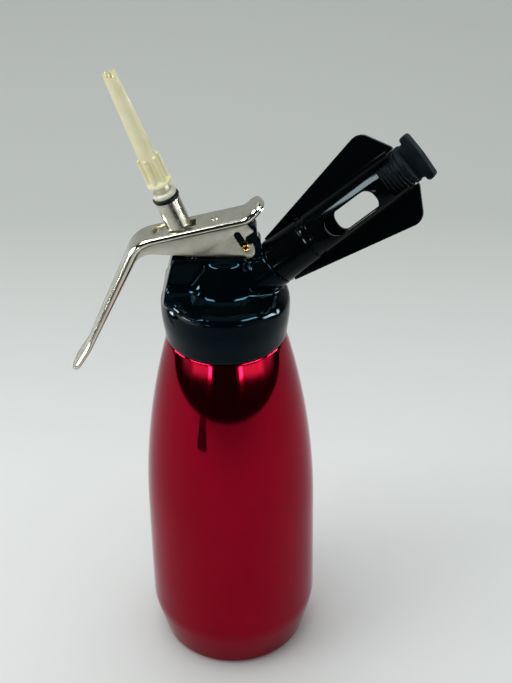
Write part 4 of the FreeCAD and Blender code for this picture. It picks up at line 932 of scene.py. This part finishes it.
def make_lever_handle():
    spots, lengths = strap_stations()
    total = lengths[-1]

    def spot(s):
        return np.array([np.interp(s, lengths, column) for column in spots.T])

    ends = [END_ROUND * (1 - math.cos(math.pi / 2 * k / 10)) for k in range(10)]
    wanted = ends + [s for s in lengths if END_ROUND < s < total - END_ROUND]
    wanted += [total - s for s in reversed(ends)]
    sections = []
    for s in wanted:
        x, z = spot(s)
        dx, dz = spot(min(s + 0.8, total)) - spot(max(s - 0.8, 0))
        size = math.hypot(dx, dz)
        normal = Vector((dz / size, 0, -dx / size))
        width, edge = between(STRAP_WIDTHS, s), between(STRAP_EDGES, s)
        inset = max(0.0, 1 - min(s, total - s) / END_ROUND)
        narrow = edge + 0.3
        width = narrow + (width - narrow) * math.sqrt(max(0.0, 1 - inset ** 2))
        sections.append([Vector((x, y, z)) + normal * n for y, n in strap_section(width, edge)])
    mesh = lofted("lever_strap", sections)
    place, low, high = plate_frame(KEYHOLE_X), -LEVER_SHEET - 3, 3
    keyhole = turned("keyhole", [(0, low), (KEYHOLE_RADIUS, low), (KEYHOLE_RADIUS, high),
                                 (0, high)], place, 96)
    length = (SLOT_END_X - KEYHOLE_X) / SLOPE_COS
    slot = prism("slot", [(0, low), (length, low), (length, high), (0, high)], SLOT_HALF, place)
    for cutter in (keyhole, slot):
        tool = new_object("tool", cutter)
        mesh = finished(mesh, ("BOOLEAN", {"object": tool, "operation": "DIFFERENCE",
                                           "solver": "EXACT"}))
        bpy.data.objects.remove(tool)
    mesh = finished(mesh, bevel(0.22, 55))
    mark_buffed(mesh)
    piece("lever_strap", mesh, node="lever_handle", sharp=40)


def mark_buffed(mesh):
    """Point attribute that is 1 on the strap's lip and rolled edges and 0 on its flat top."""
    attribute = mesh.attributes.new("buffed", "FLOAT", "POINT")
    spots, lengths = strap_stations()
    values = []
    for vertex in mesh.vertices:
        x, y, z = vertex.co / MM
        s = lengths[int(np.argmin(np.hypot(spots[:, 0] - x, spots[:, 1] - z)))]
        half = (between(STRAP_WIDTHS, s) - between(STRAP_EDGES, s)) / 2
        values.append(max(ramp(abs(y) - half, -0.3, 0.5), ramp(-s, -12.0, -8.0)))
    attribute.data.foreach_set("value", values)


def make_rivet():
    """Rivet with a dished head on the plate and a clenched end under the bracket's web."""
    low = -LEVER_SHEET - 1.2
    outline = [(0, low - 0.6), (RIVET_HEAD, low - 0.6, 0.3), (RIVET_HEAD, low),
               (RIVET_SHANK, low), (RIVET_SHANK, 0), (RIVET_HEAD, 0), (RIVET_HEAD, 0.24, 0.15),
               (1.25, 0.62, 0.2), (0.75, 0.5, 0.3), (0.4, 0.3, 0.3), (0, 0.28)]
    piece("rivet_finish", turned("rivet_finish", outline, plate_frame(RIVET_X), 48),
          node="lever_rivet", sharp=50)


def make_pin():
    """Hollow pin across the head's post, its ends a little proud of the cheeks."""
    half = CHEEK_HALF + 0.3
    place = Matrix.Translation(Vector((PIN_X, 0, PIN_Z)) * MM) @ Matrix.Rotation(
        math.pi / 2, 4, "X") @ Matrix.Scale(MM, 4)
    outline = [(0.9, -half + 0.3), (1.15, -half), (PIN_RADIUS, -half, 0.15),
               (PIN_RADIUS, half, 0.15), (1.15, half), (0.9, half - 0.3)]
    piece("pin_finish", turned("pin_finish", outline, place, 48), node="pivot_pin", sharp=50)


# ------------------------ valve and nozzle


def make_spout_ring():
    section = [(RING_RADIUS - RING_WIRE + RING_WIRE * math.cos(a),
                TUBE_TOP + RING_WIRE + RING_WIRE * math.sin(a))
               for a in [2 * math.pi * k / 20 for k in range(20)]]
    piece("spout_ring", turned("spout_ring", section, VALVE, 96), node="spout_o_ring")


def make_adapter():
    ring_top = TUBE_TOP + 2 * RING_WIRE
    spigot, low = TUBE_BORE - SPIGOT_PLAY, ring_top - SPIGOT_LENGTH
    outline = [(ADAPTER_BORE, low), (spigot, low, 0.4), (spigot, ring_top),
               (FLANGE_RADIUS, ring_top, 0.35),
               (FLANGE_RADIUS, FLANGE_TOP - 1.0, 0.5), (FLANGE_RADIUS - 1.0, FLANGE_TOP, 0.5),
               (ADAPTER_NECK, FLANGE_TOP, 0.5), (ADAPTER_NECK, ADAPTER_NECK_TOP, 0.4),
               (ADAPTER_BORE, ADAPTER_NECK_TOP, 0.3)]
    piece("adapter_finish", turned("adapter_finish", outline, VALVE, 96), node="nozzle_adapter",
          sharp=50)


def tooth_gap(height, turn):
    """How far the nozzle's mouth is cut back between its teeth."""
    share = abs((turn * TIP_TEETH) % 1 - 0.5) * 2
    cut = TOOTH_DEPTH * min(1.0, (1 - share) / TOOTH_FLANK)
    return cut * max(0.0, (height - (TIP_END - TOOTH_FADE)) / TOOTH_FADE)


def make_tip():
    """Tapered nozzle with a rim, ribs round its base and a crown of teeth at its mouth."""
    base_end, socket_end = TIP_START + 15, TIP_START + 4.6
    corners = [(TIP_RIM, TIP_START, 0.4), (TIP_RIM, TIP_START + 1.4, 0.5),
               (TIP_BASE, TIP_START + 2.6, 1.0), (TIP_BASE - 0.05, base_end, 8.0),
               (TIP_MOUTH, TIP_END), (TIP_MOUTH_BORE, TIP_END), (TIP_BORE, socket_end, 0.4),
               (TIP_SOCKET, socket_end, 0.2), (TIP_SOCKET, TIP_START, 0.3)]
    rows = []
    outline = rounded(corners, 12)
    for here, there in zip(outline, outline[1:] + outline[:1]):
        steps = 24 if (there - here).length > 20 else 1
        rows += [here.lerp(there, k / steps) for k in range(steps)]
    piece("tip_body", turned("tip_body", rows, VALVE, TIP_TEETH * 20, tooth_gap),
          node="decorating_tip", sharp=45)
    ribs = grown(RIBS, "tip_ribs", VALVE, Count=TIP_RIBS, Ring=TIP_BASE + 0.2, Radius=1.1,
                 Length=13.0, Start=TIP_START + 0.6, Phase=math.radians(15),
                 Material=FINISHES["aged_ivory_plastic"])
    piece("tip_ribs", ribs, body="tip", slot="aged_ivory_plastic", sharp=45)


# ------------------------ all the pieces

make_bottle()
make_head()
softened("charger_holder", 0.35)
make_plug()
make_lever_handle()
softened("lever_bracket", 0.18)
make_rivet()
make_pin()
make_spout_ring()
make_adapter()
make_tip()

for node, target in NODES.items():
    if target.name in bpy.data.objects and node in SLOT_OF:
        target.data.materials.clear()
        target.data.materials.append(FINISHES[SLOT_OF[node]])

# ------------------------ camera, floor and light


CAMERA_PLACE = (13.84, -585.71, 595.20)
CAMERA_RIGHT = (0.99987, -0.00939, -0.01324)
CAMERA_UP = (0.01623, 0.5782, 0.8157)
CAMERA_BACK = (0, -0.8158, 0.5783)
FOCAL_LENGTH = 1520 / 683        # in heights of the picture
SENSOR = 36.0

# floor and table top, in metres
FLOOR_HALF = 2.5
TABLE_RADIUS = 0.57
TABLE_BACK = 0.95
TABLE_LIFT = 0.0004
CARD_LIFT = 0.001
CARD_CORNERS = ((-0.254, -0.273), (-0.182, -0.325), (-0.293, -0.479), (-0.365, -0.427))

# strength of the world's light
FILL_LEVEL = 0.55
BACKDROP_EXTRA = 0.19
ROOM_LEVEL = 0.03


def make_camera():
    camera = bpy.data.cameras.new("camera")
    camera.sensor_width = SENSOR
    camera.lens = FOCAL_LENGTH * SENSOR
    camera.clip_start = 0.02
    target = new_object("camera", camera)
    turn = Matrix((CAMERA_RIGHT, CAMERA_UP, CAMERA_BACK)).transposed().to_4x4()
    target.matrix_world = Matrix.Translation(Vector(CAMERA_PLACE) * MM) @ turn
    bpy.context.scene.camera = target


def paper(name, front_shade):
    """Pale paper with painted shade: greyer towards the back and, by front_shade, towards its
    front edge, where less light reaches.
    """
    material, tree, shader = finish_of(name, Roughness=0.8, Specular_IOR_Level=0.2)
    point = object_point(tree)
    fibre = noise(tree, point, 30.0, 3.0)
    ahead = put(tree, "ShaderNodeSeparateXYZ", {"Vector": point}).outputs["Y"]
    shade = blend_colour(tree, fibre, srgb("#E3E5E4"), srgb("#E6E8E7"))
    # painted shade: the paper greys towards the back, where the light falls off
    painted_back_shade = spread(tree, ahead, 130, 420, 0, 0.85)
    # painted shade: darker towards the front edge by front_shade, where the light falls off
    painted_front_shade = spread(tree, ahead, -560, -260, front_shade, 0)
    shade = blend_colour(tree, painted_back_shade, shade, srgb("#BCC0BD"))
    link(tree, blend_colour(tree, painted_front_shade, shade, srgb("#8E908F")), shader, "Base Color")
    return material


def stage_plate(name, outline, height, material):
    """Flat plate of the set, its outline and height in metres."""
    points = [(x, y, height) for x, y in outline]
    target = new_object(name, mesh_of(name, points, [list(range(len(points)))], Matrix()))
    target.data.materials.append(material)
    return target


def make_floor():
    """Wide pale floor, and the round-fronted table top that polished faces mirror."""
    corners = [(x * FLOOR_HALF, y * FLOOR_HALF) for x, y in ((-1, -1), (1, -1), (1, 1), (-1, 1))]
    # the wide floor's paper has painted shade towards the back
    wide = stage_plate("floor", corners, 0.0, paper("pale paper", 0.0))
    wide.visible_glossy = False
    outline = [(TABLE_RADIUS * math.cos(a), -TABLE_RADIUS * math.sin(a))
               for a in [math.pi * k / 48 for k in range(49)]]
    outline += [(-TABLE_RADIUS, TABLE_BACK), (TABLE_RADIUS, TABLE_BACK)]
    # the table top, seen only in reflections, has painted shade towards its front edge
    table = stage_plate("table_top", outline, TABLE_LIFT, paper("table paper", 0.75))
    table.visible_camera = table.visible_diffuse = table.visible_shadow = False
    material, tree, shader = finish_of("dark card", Roughness=0.8, Specular_IOR_Level=0.2)
    fibre = noise(tree, object_point(tree), 3.0, 3.0)
    tinted(tree, shader, fibre, "#282B2C", "#333636")
    stage_plate("dark_card", CARD_CORNERS, CARD_LIFT, material)


def smooth_window(tree, value, centre, half, soft):
    """1 where value is within half of centre, falling to 0 over soft on either side."""
    away = maths(tree, "ABSOLUTE", maths(tree, "SUBTRACT", value, centre))
    inside = spread(tree, away, half + soft, half - soft)
    inside.node.interpolation_type = "SMOOTHSTEP"
    return inside


WINDOWS = (  # azimuth, elevation, half width, half height, soft across, soft over, strength
    (-28.5, -6.0, 2.6, 2.6, 0.9, 0.5, 20.0),      # bright strips low on both sides,
    (24.0, -6.0, 2.8, 2.5, 0.9, 0.5, 18.0),
    (-43, -6.0, 17, 2.6, 5, 0.9, 2.6),            # with their fainter trains
    (42, -6.0, 22, 2.6, 5, 0.9, 3.0),
    (-70, -6.0, 12, 3, 7, 1.5, 1.0),
    (74, -6.0, 14, 3, 7, 1.5, 1.3),
    (-92, 9.3, 12, 9.5, 2, 1.5, 70.0),            # windows far to the sides
    (90, 9.3, 12, 9.5, 2, 1.5, 70.0),
    (-58, 48, 20, 8, 3, 2, 60.0),                 # high windows
    (55, 48, 20, 8, 3, 2, 60.0),
    (0, 86, 180, 22, 4, 5, 0.85),                 # ceiling
    (180, 30, 60, 38, 12, 12, 0.45),              # wall behind
)
SILL_SLOPE = 0.09                # the sills sink by this much a degree beyond the start
SILL_START = 28.0


def make_room():
    """World: even pale light, and for reflections a dim room with windows in front."""
    world = bpy.data.worlds.new("room")
    bpy.context.scene.world = world
    world.use_nodes = True
    tree = world.node_tree
    tree.nodes.clear()
    way = put(tree, "ShaderNodeTexCoord").outputs["Generated"]
    parts = put(tree, "ShaderNodeSeparateXYZ", {"Vector": way}).outputs
    ahead = maths(tree, "MULTIPLY", parts["Y"], -1.0)
    turn = maths(tree, "DEGREES", maths(tree, "ARCTAN2", parts["X"], ahead))
    height = maths(tree, "DEGREES", maths(tree, "ARCSINE", parts["Z"]))
    aside = maths(tree, "SUBTRACT", maths(tree, "ABSOLUTE", turn), SILL_START)
    sunk = maths(tree, "MULTIPLY", maths(tree, "MAXIMUM", aside, 0.0), SILL_SLOPE)
    height = maths(tree, "ADD", height, sunk)
    total = ROOM_LEVEL
    for azimuth, elevation, wide, tall, soft_across, soft_over, strength in WINDOWS:
        wrapped = maths(tree, "WRAP", maths(tree, "SUBTRACT", turn, azimuth), 180.0)
        wrapped.node.inputs[2].default_value = -180.0
        across = smooth_window(tree, wrapped, 0.0, wide, soft_across)
        over = smooth_window(tree, height, elevation, tall, soft_over)
        pane = maths(tree, "MULTIPLY", maths(tree, "MULTIPLY", across, over), strength)
        total = maths(tree, "ADD", pane, total)
    room = put(tree, "ShaderNodeBackground", {"Color": srgb("#F4FBFA"), "Strength": total})
    rays = put(tree, "ShaderNodeLightPath").outputs
    seen = maths(tree, "MULTIPLY", rays["Is Camera Ray"], BACKDROP_EXTRA)
    level = maths(tree, "ADD", seen, FILL_LEVEL)
    even = put(tree, "ShaderNodeBackground", {"Color": srgb("#F2F6F5"), "Strength": level})
    bounced = maths(tree, "MINIMUM", rays["Diffuse Depth"], 1.0)
    glossy = maths(tree, "MULTIPLY", rays["Is Glossy Ray"], maths(tree, "SUBTRACT", 1.0, bounced))
    mixed = put(tree, "ShaderNodeMixShader", {0: glossy, 1: even.outputs[0], 2: room.outputs[0]})
    put(tree, "ShaderNodeOutputWorld", {"Surface": mixed.outputs[0]})


def make_lamp(name, place, aim, size, power):
    """Soft rectangular lamp, in metres and watts, that no reflection shows."""
    lamp = bpy.data.lights.new(name, "AREA")
    lamp.shape = "RECTANGLE"
    lamp.size, lamp.size_y = size
    lamp.energy = power
    target = new_object(name, lamp)
    way = Vector(aim) - Vector(place)
    target.rotation_euler = way.to_track_quat("-Z", "Y").to_euler()
    target.location = place
    target.visible_glossy = False


make_camera()
make_floor()
make_room()
make_lamp("ceiling softbox", (-0.15, 0.1, 1.4), (0, 0, 0.1), (1.2, 1.0), 9.0)
make_lamp("left softbox", (-1.2, -0.5, 0.9), (0, 0, 0.15), (0.8, 0.8), 5.0)

bpy.context.scene.view_settings.view_transform = "Standard"
